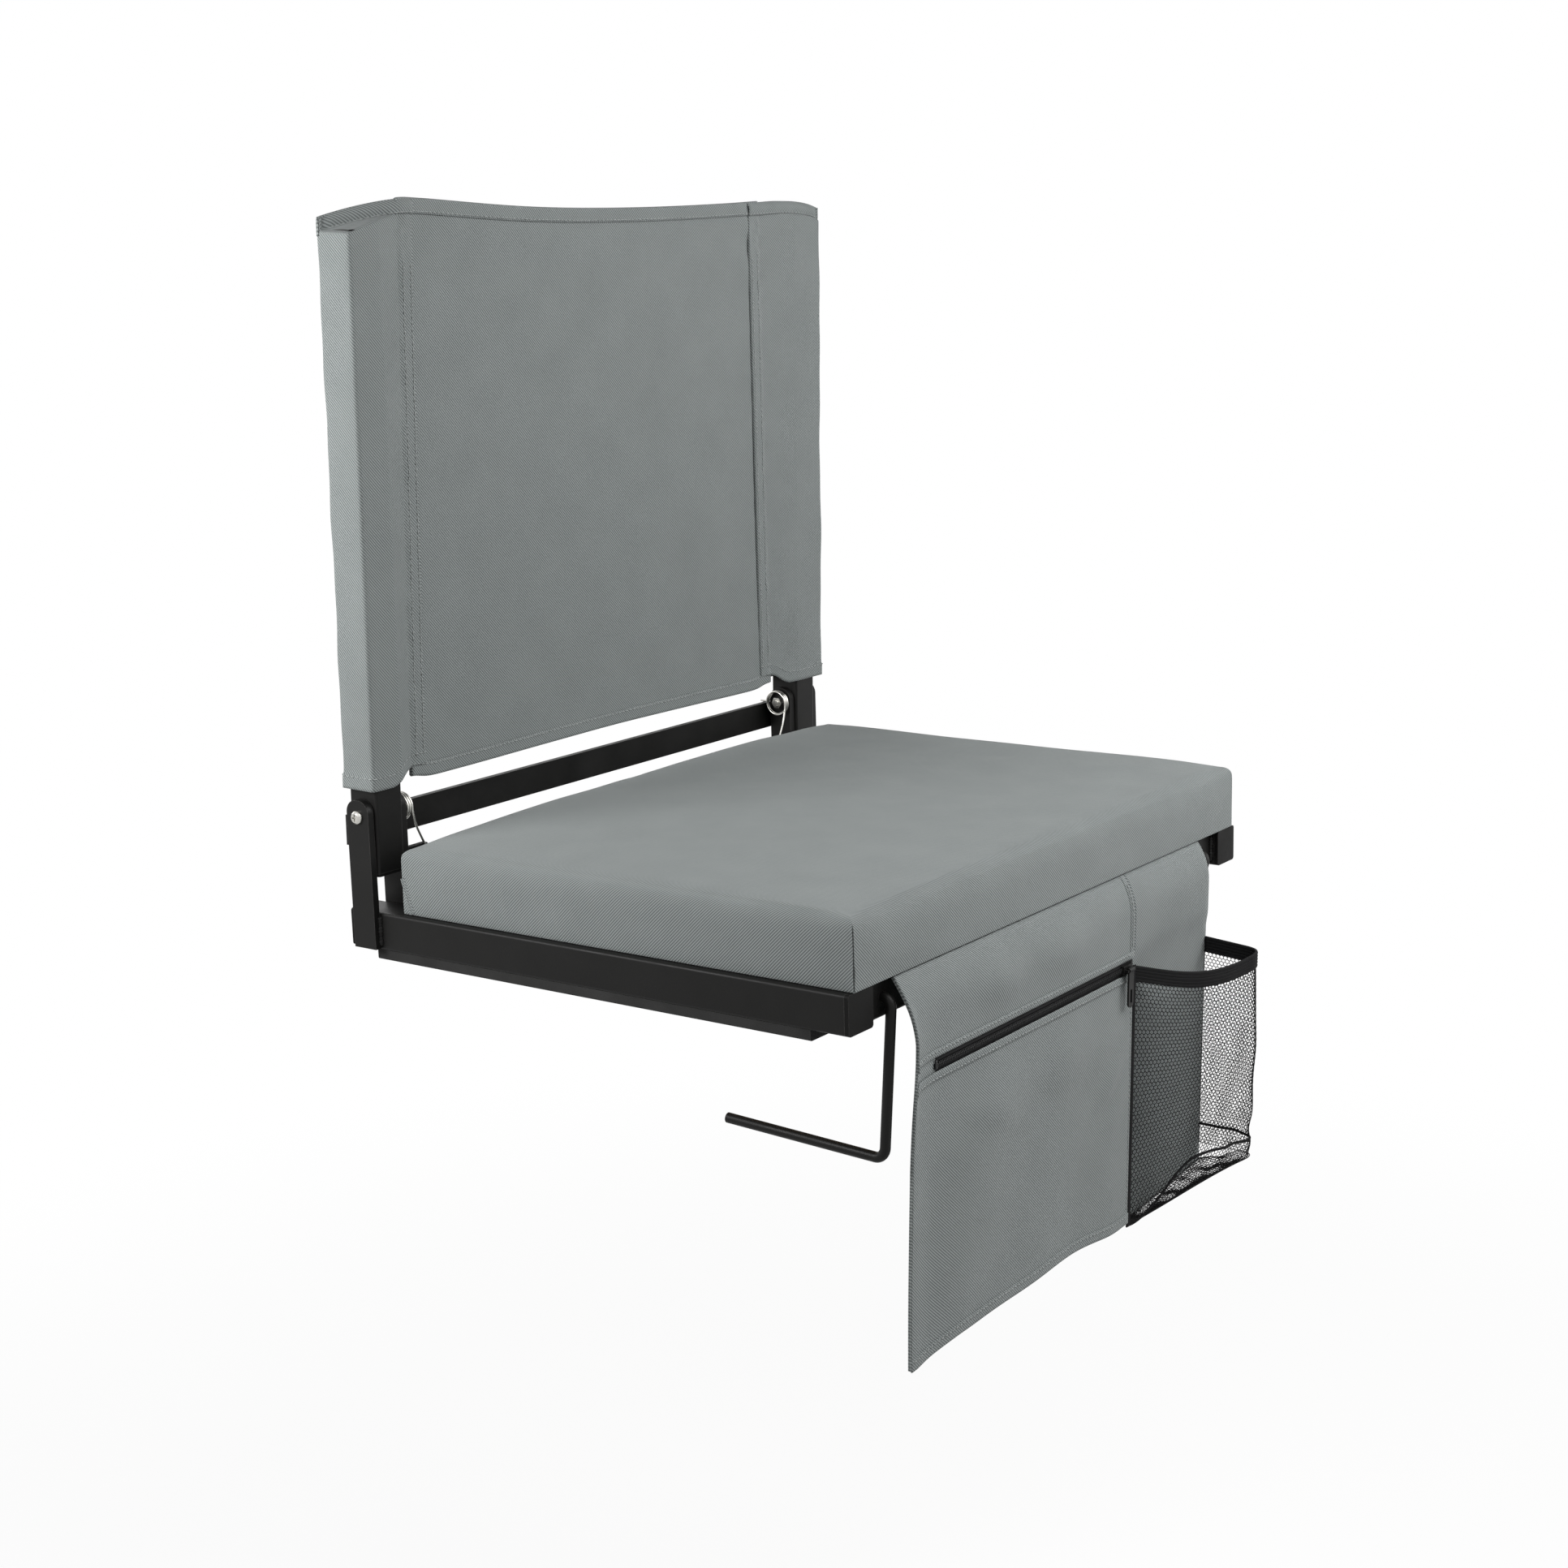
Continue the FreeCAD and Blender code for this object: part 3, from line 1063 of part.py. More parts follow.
def build():
    """Make every sub-part."""
    for side, sign in SIDES:
        side_rail(side, sign)
        rail_cap("front", side, sign, -1)
        rail_cap("rear", side, sign, 1)
        runner(side, sign)
        for level in ("outer", "inner"):
            bracket(level, side, sign)
            pivot_washer(level, side, sign)
        spring_tab(side, sign)
        pivot_bolt(side, sign)
        pivot_nut(side, sign)
        torsion_spring(side, sign)
        upright(side, sign)
        for level in ("upper", "lower"):
            upright_plug(level, side, sign)
        back_sleeve(side, sign)
        hook_washer(side, sign)
    front_cross_tube()
    cross_tube("rear_cross_tube", REAR_TUBE_Y)
    stop_bar()
    back_panel()
    seat_board()
    seat_foam()
    seat_cover()
    corners = [(sign, y) for y in (FRONT_TUBE_Y, REAR_TUBE_Y) for side, sign in SIDES]
    for number, (sign, y) in enumerate(corners, start=1):
        board_screw(number, f"{sign} * Sizes.screw_spread / 2", y)
    flap_hem()
    bench_hook("left", -1, "Sizes.hook_lean_angle")
    bench_hook("right", 1, "Sizes.hook_tuck_angle")
    flap_panel()
    zip_pocket_panel()
    zip_strip("zip_tape", "Sizes.zip_length", "Sizes.zip_tape", "Sizes.zip_tape_thick", "0")
    zip_strip("zip_teeth", "Sizes.zip_length", "Sizes.zip_tooth", "Sizes.zip_tooth_thick",
              "Sizes.zip_tape_thick")
    zip_end_stop("zip_stop_left", -1)
    zip_end_stop("zip_stop_right", 1)
    zip_slider()
    zip_pull()
    mouth = "Sizes.net_top + Sizes.binding_height"
    pocket_shell("mesh_pocket", mouth, "Sizes.net_bottom", "Sizes.net_thick", "Sizes.net_rise")
    pocket_shell("pocket_binding", "Sizes.net_top", mouth, "Sizes.binding_thick", None)


def write():
    """Check every object and write one file for each sub-part."""
    doc.recompute()
    for thing in doc.Objects:
        if "Invalid" in thing.State or "Error" in thing.State:
            raise RuntimeError(f"{thing.Label}: {thing.State}")
    os.makedirs("parts", exist_ok=True)
    for part in parts:
        if part.Shape.isNull() or not part.Shape.isValid():
            raise RuntimeError(f"{part.Label}: no valid shape")
        part.Shape.exportStep(f"parts/{part.Label}.step")
    print(f"{len(parts)} parts written")


build()
write()
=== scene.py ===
"""Folding stadium chair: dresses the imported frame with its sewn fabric, net, zip and finishes."""
import json
import math
import bmesh
import bpy
import numpy as np
from mathutils import Matrix, Vector
from mathutils.bvhtree import BVHTree


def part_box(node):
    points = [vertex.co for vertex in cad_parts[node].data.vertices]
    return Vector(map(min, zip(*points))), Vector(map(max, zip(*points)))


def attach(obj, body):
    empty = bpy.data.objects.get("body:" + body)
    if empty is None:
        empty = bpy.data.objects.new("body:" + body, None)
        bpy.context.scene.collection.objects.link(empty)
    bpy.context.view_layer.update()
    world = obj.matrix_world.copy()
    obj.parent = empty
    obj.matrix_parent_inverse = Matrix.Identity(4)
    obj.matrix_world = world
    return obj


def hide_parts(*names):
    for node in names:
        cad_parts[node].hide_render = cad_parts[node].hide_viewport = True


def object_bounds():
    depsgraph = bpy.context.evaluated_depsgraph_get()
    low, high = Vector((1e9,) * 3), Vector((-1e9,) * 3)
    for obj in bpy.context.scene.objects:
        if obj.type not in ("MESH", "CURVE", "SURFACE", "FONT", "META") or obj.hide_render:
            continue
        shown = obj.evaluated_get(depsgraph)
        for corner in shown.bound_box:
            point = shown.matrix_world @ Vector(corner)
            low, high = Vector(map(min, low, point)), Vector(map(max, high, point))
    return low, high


bl_info = {
    "name": "Folding stadium chair",
    "version": (1, 0, 0),
    "blender": (4, 5, 0),
    "location": "3D View > Sidebar > Chair",
    "description": "Sews the fabric, net and zip of a folding stadium chair and finishes its frame",
    "category": "Object",
}

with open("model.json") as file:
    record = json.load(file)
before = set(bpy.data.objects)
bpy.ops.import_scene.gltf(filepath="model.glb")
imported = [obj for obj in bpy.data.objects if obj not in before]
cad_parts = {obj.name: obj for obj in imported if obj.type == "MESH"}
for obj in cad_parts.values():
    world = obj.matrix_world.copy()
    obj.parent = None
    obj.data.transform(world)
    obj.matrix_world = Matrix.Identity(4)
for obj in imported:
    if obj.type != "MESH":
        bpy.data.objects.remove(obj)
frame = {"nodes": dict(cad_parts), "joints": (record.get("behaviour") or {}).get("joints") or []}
CAD_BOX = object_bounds()
JOINTS = {joint["name"]: joint for joint in frame["joints"]}
MM = 0.001
SIDES = (("left", -1), ("right", 1))
WEAVE = "weave"


# Settings that a user would change

class ClothSettings(bpy.types.PropertyGroup):
    """Fabric and thread."""
    twill_light: bpy.props.FloatVectorProperty(
        name="Twill crest", description="Colour on top of the twill's ribs", subtype="COLOR",
        default=(0.335, 0.36, 0.356))
    # Painted shade: the darker groove colour stands for the shade that falls between the twill's ribs
    twill_shaded_groove: bpy.props.FloatVectorProperty(
        name="Shaded twill groove", description="Colour between the twill's ribs", subtype="COLOR",
        default=(0.072, 0.083, 0.083))
    thread: bpy.props.FloatVectorProperty(
        name="Thread", description="Colour of the sewing thread", subtype="COLOR",
        default=(0.36, 0.38, 0.375))
    rib: bpy.props.FloatProperty(
        name="Twill rib", description="Rib to rib along a yarn", default=2.1 * MM, unit="LENGTH")
    thick: bpy.props.FloatProperty(
        name="Cloth thickness", description="Thickness of one layer", default=1.0 * MM, unit="LENGTH")
    stitch: bpy.props.FloatProperty(
        name="Stitch", description="Length of one stitch", default=3.0 * MM, unit="LENGTH")
    stitch_gap: bpy.props.FloatProperty(
        name="Stitch gap", description="Space between stitches", default=1.0 * MM, unit="LENGTH")
    thread_radius: bpy.props.FloatProperty(
        name="Thread radius", description="Half the thread's thickness", default=0.34 * MM, unit="LENGTH")
    back_lean: bpy.props.FloatProperty(
        name="Back lean", description="Back's forward lean at rest", default=math.radians(1.4),
        subtype="ANGLE")
    flap_lean: bpy.props.FloatProperty(
        name="Flap lean", description="Flap's foot hanging back", default=math.radians(1.5),
        subtype="ANGLE")


class FinishSettings(bpy.types.PropertyGroup):
    """Paint, plastic, rubber and plating."""
    coat: bpy.props.FloatVectorProperty(
        name="Powder coat", description="Colour of the coated steel", subtype="COLOR",
        default=(0.0072, 0.0071, 0.0068))
    # Painted highlight and wear: this lighter colour along edges stands for rubbed coat and for edges
    # catching the light
    coat_worn_and_lit: bpy.props.FloatVectorProperty(
        name="Worn and lit coat", description="Colour of the coat along rubbed edges", subtype="COLOR",
        default=(0.075, 0.073, 0.07))
    plastic: bpy.props.FloatVectorProperty(
        name="Plastic", description="Colour of caps and plugs", subtype="COLOR",
        default=(0.0062, 0.0061, 0.0059))
    rubber: bpy.props.FloatVectorProperty(
        name="Rubber", description="Colour of the runners", subtype="COLOR",
        default=(0.008, 0.0079, 0.0076))
    zinc: bpy.props.FloatVectorProperty(
        name="Zinc", description="Colour of plated bolts and springs", subtype="COLOR",
        default=(0.66, 0.65, 0.61))
    net: bpy.props.FloatVectorProperty(
        name="Net", description="Colour of the net, tapes and zip", subtype="COLOR",
        default=(0.0075, 0.0075, 0.0078))
    cell_width: bpy.props.FloatProperty(
        name="Net cell width", description="Width of one cell of the net", default=2.9 * MM, unit="LENGTH")
    cell_height: bpy.props.FloatProperty(
        name="Net cell height", description="Height of one cell of the net", default=2.5 * MM, unit="LENGTH")
    strand: bpy.props.FloatProperty(
        name="Net strand", description="Thickness of one strand of the net", default=0.6 * MM,
        unit="LENGTH")


class StageSettings(bpy.types.PropertyGroup):
    """Camera, lamps and floor."""
    eye: bpy.props.FloatVectorProperty(
        name="Camera", description="Where the camera stands", subtype="TRANSLATION", unit="LENGTH",
        default=(-1.3875, -0.9896, 0.4517))
    azimuth: bpy.props.FloatProperty(
        name="Azimuth", description="Camera's turn round the chair", subtype="ANGLE",
        default=math.radians(-53.9))
    elevation: bpy.props.FloatProperty(
        name="Elevation", description="Camera's height above the horizon", subtype="ANGLE",
        default=math.radians(12.02))
    roll: bpy.props.FloatProperty(
        name="Roll", description="Camera's tilt", subtype="ANGLE", default=math.radians(-1.66))
    lens: bpy.props.FloatProperty(
        name="Lens", description="Focal length on a 36 mm sensor", default=58.74, unit="CAMERA")
    floor_drop: bpy.props.FloatProperty(
        name="Floor below the chair", description="Floor below the lowest hem", default=0.3, unit="LENGTH")
    key_power: bpy.props.FloatProperty(
        name="Key lamp", description="Power of the lamp high at the left", default=4.5, unit="POWER")
    front_power: bpy.props.FloatProperty(
        name="Front lamp", description="Power of the lamp above the front", default=3.9, unit="POWER")
    rear_power: bpy.props.FloatProperty(
        name="Rear lamp", description="Power of the lamp behind the back", default=14.0, unit="POWER")
    fill_power: bpy.props.FloatProperty(
        name="Fill lamp", description="Power of the lamp at the right", default=7.9, unit="POWER")
    side_power: bpy.props.FloatProperty(
        name="Side lamp", description="Power of the lamp beside the back", default=6.6, unit="POWER")
    ambient: bpy.props.FloatProperty(
        name="Ambient", description="Strength of the even light from all round", default=0.2)


# Shapes of the sewn pieces in millimetres, in the back's and the flap's own axes

# Back. A size that differs by side is kept by the side's sign: -1 for the left, 1 for the right
SEAM_TOP = {-1: 199, 1: 178}  # seam from the middle, at the top
SEAM_FOOT = {-1: 206, 1: 188}  # and at the foot
SEAM_LAP = 11  # width of the raised strip along a seam
WELT_HIGH = 2  # how far that strip stands up
PANEL_Y = -8  # panel in front of the uprights' middle
PANEL_LOW = 18  # panel's foot above the pivots
PANEL_SAG = 4.5  # drop of the top edge's middle
LEFT_PEAK = 4  # rise of the top edge at the left seam
HEM_DEEP = 9
SLEEVE_LOW = 17.6
SLEEVE_NOTCH = 9  # rise of a sleeve's foot beside the seam
SLEEVE_TOP = 384.8
FALL_START = 190  # where the top edge begins to fall, and over how far
FALL_WIDE = 60
SLEEVE_FALL = {-1: 11, 1: 4}
FALL_BEND = {-1: 1.6, 1: 4}  # a larger power keeps the fall to the outer end
SLEEVE_OUT = {-1: 247.4, 1: 255}
SLEEVE_FRONT = 13
SLEEVE_DEEP = 15
TUBE_X = 221.5  # inner edge of the sleeve's square part
LID_DEEP = 9.5  # height of the strip folded over a sleeve's top
LID_ROLL = 2.4  # half its thickness
LID_ROWS = 48
ROOF_LOW = 10  # the sleeve starts to close this far below its top
ROOF_HIGH = 8  # and is shut here
CLOSED_OUT = {-1: 13, 1: -9}  # outer end of the closed line, to the rear

# Flap, with drops measured below the rails' top
FLAP_LEFT = -198.5
FLAP_RIGHT = 188
FLAP_SEAM = 79  # where the net is sewn on
FLAP_FORWARD = 8
FLAP_BULGE = 40  # radius of the bend at the top
FLAP_TURN = math.radians(36)
FLAP_GAP = 3
FLAP_DROP = 247
ZIP_DROP = 61
ZIP_HALF = 5  # half the slit's height
ZIP_LEFT = -166.5
ZIP_RIGHT = 76.5

# Net pocket
NET_DEEP = 45
NET_BOW = 10
NET_CORNER = 14
NET_MOUTH = 62
MOUTH_SAG = 7
MOUTH_CORNER = 8  # how much lower the mouth is at the corner
BINDING = 11
NET_FLOOR = 248.5
NET_RISE = 28  # rise of the wall's lower edge, from the seam to the corner
WELT_RISE = 42  # rise of the welt
NET_BELLY = 1.5


# Small tools for numbers and grids

def smooth(low, high, value):
    """0 on the low side, 1 on the high side and an even S between."""
    share = np.clip((value - low) / (high - low), 0, 1)
    return share * share * (3 - 2 * share)


def bump(value, middle, width):
    """A soft hill of height 1."""
    return np.exp(-((value - middle) / width) ** 2)


def ripple(u, v, length, seed):
    """Soft irregular waves from -1 to 1 over a plane."""
    total = 0
    for number in range(4):
        angle = seed * 1.7 + number * 2.4
        along = u * math.cos(angle) + v * math.sin(angle)
        total = total + np.sin(2 * math.pi * along * (1 + 0.37 * number) / length + seed * number)
    return total / 4


def spread(start, end, step):
    """Even places from start to end, about a step apart."""
    count = max(2, int(round(abs(end - start) / step)) + 1)
    return np.linspace(start, end, count)


def unit(vectors):
    """Vectors made one long."""
    return vectors / np.maximum(np.linalg.norm(vectors, axis=-1, keepdims=True), 1e-9)


def grid_normals(grid):
    """Outward directions of a grid of points, columns to the right and rows upward."""
    return unit(np.cross(np.gradient(grid, axis=1), np.gradient(grid, axis=0)))


def lengths(points):
    """Distance along a line of points from its start."""
    steps = np.linalg.norm(np.diff(points, axis=0), axis=1)
    return np.concatenate([[0], np.cumsum(steps)])


def along(points, places):
    """Points at given distances along a line of points."""
    far = lengths(points)
    return np.stack([np.interp(places, far, points[:, axis]) for axis in range(points.shape[1])], axis=1)


def rounded_path(corners, radii, straight=6, bend=5):
    """Straight runs with rounded corners, in as many points whatever the sizes."""
    corners = [np.array(corner, float) for corner in corners]
    path = []
    leave = corners[0]
    for before, here, after, radius in zip(corners, corners[1:], corners[2:], radii):
        into = unit(here - before)
        out = unit(after - here)
        reach = radius * math.tan(math.acos(np.clip(into @ out, -1, 1)) / 2)
        start = here - into * reach
        end = here + out * reach
        path += [leave + (start - leave) * step / straight for step in range(straight)]
        for step in range(bend):
            share = step / bend
            path.append((1 - share) ** 2 * start + 2 * share * (1 - share) * here + share ** 2 * end)
        leave = end
    path += [leave + (corners[-1] - leave) * step / straight for step in range(straight + 1)]
    return np.array(path)


def back_axes():
    """From the back's own axes to the chair's."""
    pivot = Matrix.Translation(JOINTS["back_fold"]["pos_m"])
    return pivot @ Matrix.Rotation(bpy.context.scene.chair_cloth.back_lean, 4, "X")


def flap_axes():
    """From the flap's own axes to the chair's."""
    low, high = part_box("rail_left")
    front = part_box("cap_front_left")[0].y
    edge = Matrix.Translation((0, front, high.z))
    return edge @ Matrix.Rotation(bpy.context.scene.chair_cloth.flap_lean, 4, "X")


def placed(axes, points):
    """Millimetre points in a piece's own axes as metre points of the chair."""
    matrix = np.array(axes)
    return np.asarray(points, float) * MM @ matrix[:3, :3].T + matrix[:3, 3]


# Making pieces

def new_piece(name, points, faces, uvs, finish, body):
    """A mesh piece that rides on a body and carries its weave's places in metres."""
    mesh = bpy.data.meshes.new(name)
    mesh.from_pydata([tuple(point) for point in points], [], [tuple(face) for face in faces])
    if uvs is not None:
        layer = mesh.uv_layers.new(name=WEAVE)
        corner = np.zeros(len(mesh.loops), int)
        mesh.loops.foreach_get("vertex_index", corner)
        layer.data.foreach_set("uv", np.asarray(uvs, np.float32)[corner].ravel())
    mesh.polygons.foreach_set("use_smooth", [True] * len(mesh.polygons))
    mesh.materials.append(finish)
    piece = bpy.data.objects.new(name, mesh)
    bpy.context.scene.collection.objects.link(piece)
    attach(piece, body)
    return piece


def grid_faces(rows, columns, flip=False, ring=False):
    """Four-sided faces of a grid, outward when its columns run right and its rows up."""
    wide = columns if ring else columns - 1
    row, column = np.meshgrid(np.arange(rows - 1), np.arange(wide), indexing="ij")
    following = (column + 1) % columns
    faces = np.stack([row * columns + column, row * columns + following,
                      (row + 1) * columns + following, (row + 1) * columns + column], axis=-1)
    faces = faces.reshape(-1, 4)
    return faces[:, ::-1] if flip else faces


def settle(piece):
    """Replace a piece's mesh by what its modifiers make of it."""
    view = bpy.context.evaluated_depsgraph_get()
    view.update()
    mesh = bpy.data.meshes.new_from_object(piece.evaluated_get(view), depsgraph=view)
    old = piece.data
    piece.modifiers.clear()
    piece.data = mesh
    mesh.name = old.name + "_settled"
    bpy.data.meshes.remove(old)


def thicken(piece, thick, offset=-1.0):
    """Give a sheet its thickness and a rim."""
    shell = piece.modifiers.new("cloth", "SOLIDIFY")
    shell.thickness = thick
    shell.offset = offset
    shell.use_even_offset = True
    settle(piece)


def cloth_piece(name, grid, uvs, body, flip=False, thick=None, finish="grey_twill"):
    """A sewn sheet from a grid of points."""
    rows, columns = grid.shape[:2]
    faces = grid_faces(rows, columns, flip)
    piece = new_piece(name, grid.reshape(-1, 3), faces, np.asarray(uvs).reshape(-1, 2),
                      FINISHES[finish](), body)
    thicken(piece, thick or bpy.context.scene.chair_cloth.thick)
    return piece


def stitch_rows(name, rows, body, finish="sewing_thread"):
    """Lines of thread: each stitch a small rounded bar that dips into the cloth at its ends."""
    cloth = bpy.context.scene.chair_cloth
    pitch = cloth.stitch + cloth.stitch_gap
    shape = ((-0.5, 0.35, -0.5), (-0.32, 0.9, 0.25), (0, 1, 0.45), (0.32, 0.9, 0.25), (0.5, 0.35, -0.5))
    sides = 6
    turn = np.arange(sides) * 2 * math.pi / sides
    points = []
    faces = []
    cell = grid_faces(len(shape), sides, ring=True)
    ends = [list(range(sides))[::-1], [(len(shape) - 1) * sides + side for side in range(sides)]]
    for line, normals in rows:
        far = lengths(line)[-1]
        places = np.arange(pitch / 2, far - pitch / 2, pitch)
        if len(places) == 0:
            continue
        middles = along(line, places)
        heads = unit(along(line, places + pitch / 4) - along(line, places - pitch / 4))
        tops = unit(np.stack([np.interp(places, lengths(line), normals[:, k]) for k in range(3)], axis=1))
        across = unit(np.cross(heads, tops))
        for middle, head, top, side in zip(middles, heads, tops, across):
            first = len(points)
            for where, width, height in shape:
                centre = middle + head * where * cloth.stitch + top * height * cloth.thread_radius
                for angle in turn:
                    round_it = side * math.cos(angle) + top * math.sin(angle)
                    points.append(centre + round_it * width * cloth.thread_radius)
            faces += [[first + corner for corner in face] for face in cell]
            faces += [[first + corner for corner in end] for end in ends]
    return new_piece(name, points, faces, None, FINISHES[finish](), body)


# Shader node groups

# Wave texture scales that give one band for each unit of length
BAND = 2 * math.pi / 20
DIAGONAL_BAND = 2 * math.pi / 10


def add(tree, kind, **settings):
    """A node with its settings."""
    node = tree.nodes.new(kind)
    for key, value in settings.items():
        setattr(node, key, value)
    return node


def math_node(tree, operation, first, second=None):
    """A math node fed by sockets or numbers. Returns its output."""
    node = add(tree, "ShaderNodeMath", operation=operation)
    for socket, value in zip(node.inputs, (first, second)):
        if isinstance(value, bpy.types.NodeSocket):
            tree.links.new(value, socket)
        elif value is not None:
            socket.default_value = value
    return node.outputs[0]


def mix_colours(tree, share, first, second):
    """Mix two colours, given as sockets or values, by a socket. Returns the result."""
    node = add(tree, "ShaderNodeMix", data_type="RGBA")
    tree.links.new(share, node.inputs["Factor"])
    for socket, value in ((node.inputs[6], first), (node.inputs[7], second)):
        if isinstance(value, bpy.types.NodeSocket):
            tree.links.new(value, socket)
        else:
            socket.default_value = (*value[:3], 1)
    return node.outputs[2]


def node_group(name, inputs, outputs):
    """A new shader group with its named sockets, and its two end nodes."""
    group = bpy.data.node_groups.new(name, "ShaderNodeTree")
    for label, kind, default in inputs:
        socket = group.interface.new_socket(name=label, in_out="INPUT", socket_type="NodeSocket" + kind)
        if default is not None:
            socket.default_value = default
    for label, kind in outputs:
        group.interface.new_socket(name=label, in_out="OUTPUT", socket_type="NodeSocket" + kind)
    return group, group.nodes.new("NodeGroupInput"), group.nodes.new("NodeGroupOutput")


def twill_group():
    """Diagonal ribs with their yarns, a little uneven. Takes places in metres."""
    group, given, made = node_group(
        "twill ribs",
        (("Vector", "Vector", None), ("Ribs per metre", "Float", 480), ("Crest", "Color", (1, 1, 1, 1)),
         ("Groove", "Color", (0, 0, 0, 1)), ("Drift", "Float", 0.1)),
        (("Color", "Color"), ("Height", "Float"), ("Roughness", "Float")))
    scaled = add(group, "ShaderNodeVectorMath", operation="SCALE")
    group.links.new(given.outputs["Vector"], scaled.inputs[0])
    group.links.new(given.outputs["Ribs per metre"], scaled.inputs["Scale"])
    bands = []
    waves = (("DIAGONAL", DIAGONAL_BAND, 0.35), ("X", 3 * BAND, 0.2), ("Y", 3 * BAND, 0.2))
    for direction, scale, warp in waves:
        wave = add(group, "ShaderNodeTexWave", bands_direction=direction)
        group.links.new(scaled.outputs[0], wave.inputs["Vector"])
        wave.inputs["Scale"].default_value = scale
        wave.inputs["Distortion"].default_value = warp
        wave.inputs["Detail Scale"].default_value = 2.5
        bands.append(wave.outputs["Fac"])
    rib, warp_yarn, weft_yarn = bands
    yarns = math_node(group, "MULTIPLY", warp_yarn, weft_yarn)
    height = math_node(group, "ADD", math_node(group, "MULTIPLY", rib, 0.75),
                       math_node(group, "MULTIPLY", yarns, 0.25))
    cloud = add(group, "ShaderNodeTexNoise")
    cloud.inputs["Scale"].default_value = 26
    cloud.inputs["Detail"].default_value = 5
    group.links.new(given.outputs["Vector"], cloud.inputs["Vector"])
    drift = math_node(group, "MULTIPLY", math_node(group, "SUBTRACT", cloud.outputs["Fac"], 0.5),
                      given.outputs["Drift"])
    share = math_node(group, "ADD", math_node(group, "POWER", height, 0.8), drift)
    # Colour follows the rib height, darker low down: painted shade in the grooves between the ribs
    colour = mix_colours(group, share, given.outputs["Groove"], given.outputs["Crest"])
    group.links.new(colour, made.inputs["Color"])
    group.links.new(height, made.inputs["Height"])
    rough = math_node(group, "SUBTRACT", 0.93, math_node(group, "MULTIPLY", height, 0.16))
    group.links.new(rough, made.inputs["Roughness"])
    return group


def grain_group():
    """Fine orange peel and broad cloudiness, for coated steel, plastic and rubber."""
    group, given, made = node_group(
        "fine grain",
        (("Grains per metre", "Float", 900), ("Smoothest", "Float", 0.4), ("Roughest", "Float", 0.6)),
        (("Height", "Float"), ("Roughness", "Float"), ("Cloud", "Float")))
    place = add(group, "ShaderNodeTexCoord")
    peel = add(group, "ShaderNodeTexNoise")
    peel.inputs["Detail"].default_value = 3
    group.links.new(place.outputs["Object"], peel.inputs["Vector"])
    group.links.new(given.outputs["Grains per metre"], peel.inputs["Scale"])
    cloud = add(group, "ShaderNodeTexNoise")
    cloud.inputs["Scale"].default_value = 34
    cloud.inputs["Detail"].default_value = 6
    group.links.new(place.outputs["Object"], cloud.inputs["Vector"])
    rough = add(group, "ShaderNodeMapRange")
    group.links.new(cloud.outputs["Fac"], rough.inputs["Value"])
    rough.inputs["From Min"].default_value = 0.3
    rough.inputs["From Max"].default_value = 0.7
    group.links.new(given.outputs["Smoothest"], rough.inputs["To Min"])
    group.links.new(given.outputs["Roughest"], rough.inputs["To Max"])
    group.links.new(peel.outputs["Fac"], made.inputs["Height"])
    group.links.new(rough.outputs["Result"], made.inputs["Roughness"])
    group.links.new(cloud.outputs["Fac"], made.inputs["Cloud"])
    return group


def wear_and_highlight_group():
    """Where edges are rubbed and where they catch the light, one mask for wear and painted highlight
    together: strong on sharp corners, broken up by noise.
    """
    group, given, made = node_group(
        "edge wear", (("Width", "Float", 1.2 * MM), ("Amount", "Float", 1.0)), (("Mask", "Float"),))
    eased = add(group, "ShaderNodeBevel", samples=4)
    group.links.new(given.outputs["Width"], eased.inputs["Radius"])
    facing = add(group, "ShaderNodeNewGeometry")
    match = add(group, "ShaderNodeVectorMath", operation="DOT_PRODUCT")
    group.links.new(eased.outputs["Normal"], match.inputs[0])
    group.links.new(facing.outputs["Normal"], match.inputs[1])
    edge = math_node(group, "MULTIPLY", math_node(group, "SUBTRACT", 1.0, match.outputs["Value"]), 4.0)
    place = add(group, "ShaderNodeTexCoord")
    patches = add(group, "ShaderNodeTexNoise")
    patches.inputs["Scale"].default_value = 120
    patches.inputs["Detail"].default_value = 4
    group.links.new(place.outputs["Object"], patches.inputs["Vector"])
    broken = math_node(group, "MULTIPLY", edge, patches.outputs["Fac"])
    clean = add(group, "ShaderNodeClamp")
    group.links.new(math_node(group, "MULTIPLY", broken, given.outputs["Amount"]), clean.inputs["Value"])
    group.links.new(clean.outputs[0], made.inputs["Mask"])
    return group


def tape_group():
    """Ribbed tape: fine cords along one way crossed by weft, in metres of its weave map."""
    group, given, made = node_group(
        "tape ribs", (("Vector", "Vector", None), ("Cords per metre", "Float", 900)),
        (("Height", "Float"), ("Mask", "Float")))
    scaled = add(group, "ShaderNodeVectorMath", operation="SCALE")
    group.links.new(given.outputs["Vector"], scaled.inputs[0])
    group.links.new(given.outputs["Cords per metre"], scaled.inputs["Scale"])
    bands = []
    for direction, per_cord in (("Y", 1), ("X", 1.4)):
        wave = add(group, "ShaderNodeTexWave", bands_direction=direction)
        group.links.new(scaled.outputs[0], wave.inputs["Vector"])
        wave.inputs["Scale"].default_value = BAND * per_cord
        wave.inputs["Distortion"].default_value = 0.15
        bands.append(wave.outputs["Fac"])
    height = math_node(group, "ADD", math_node(group, "MULTIPLY", bands[0], 0.7),
                       math_node(group, "MULTIPLY", bands[1], 0.3))
    group.links.new(height, made.inputs["Height"])
    # Mask: the raised cord crossings, which the tape's material lightens as a painted sheen
    group.links.new(math_node(group, "MULTIPLY", bands[0], bands[1]), made.inputs["Mask"])
    return group


GROUPS = {"twill": ("twill ribs", twill_group), "grain": ("fine grain", grain_group),
          "wear_and_highlight": ("edge wear", wear_and_highlight_group), "tape": ("tape ribs", tape_group)}


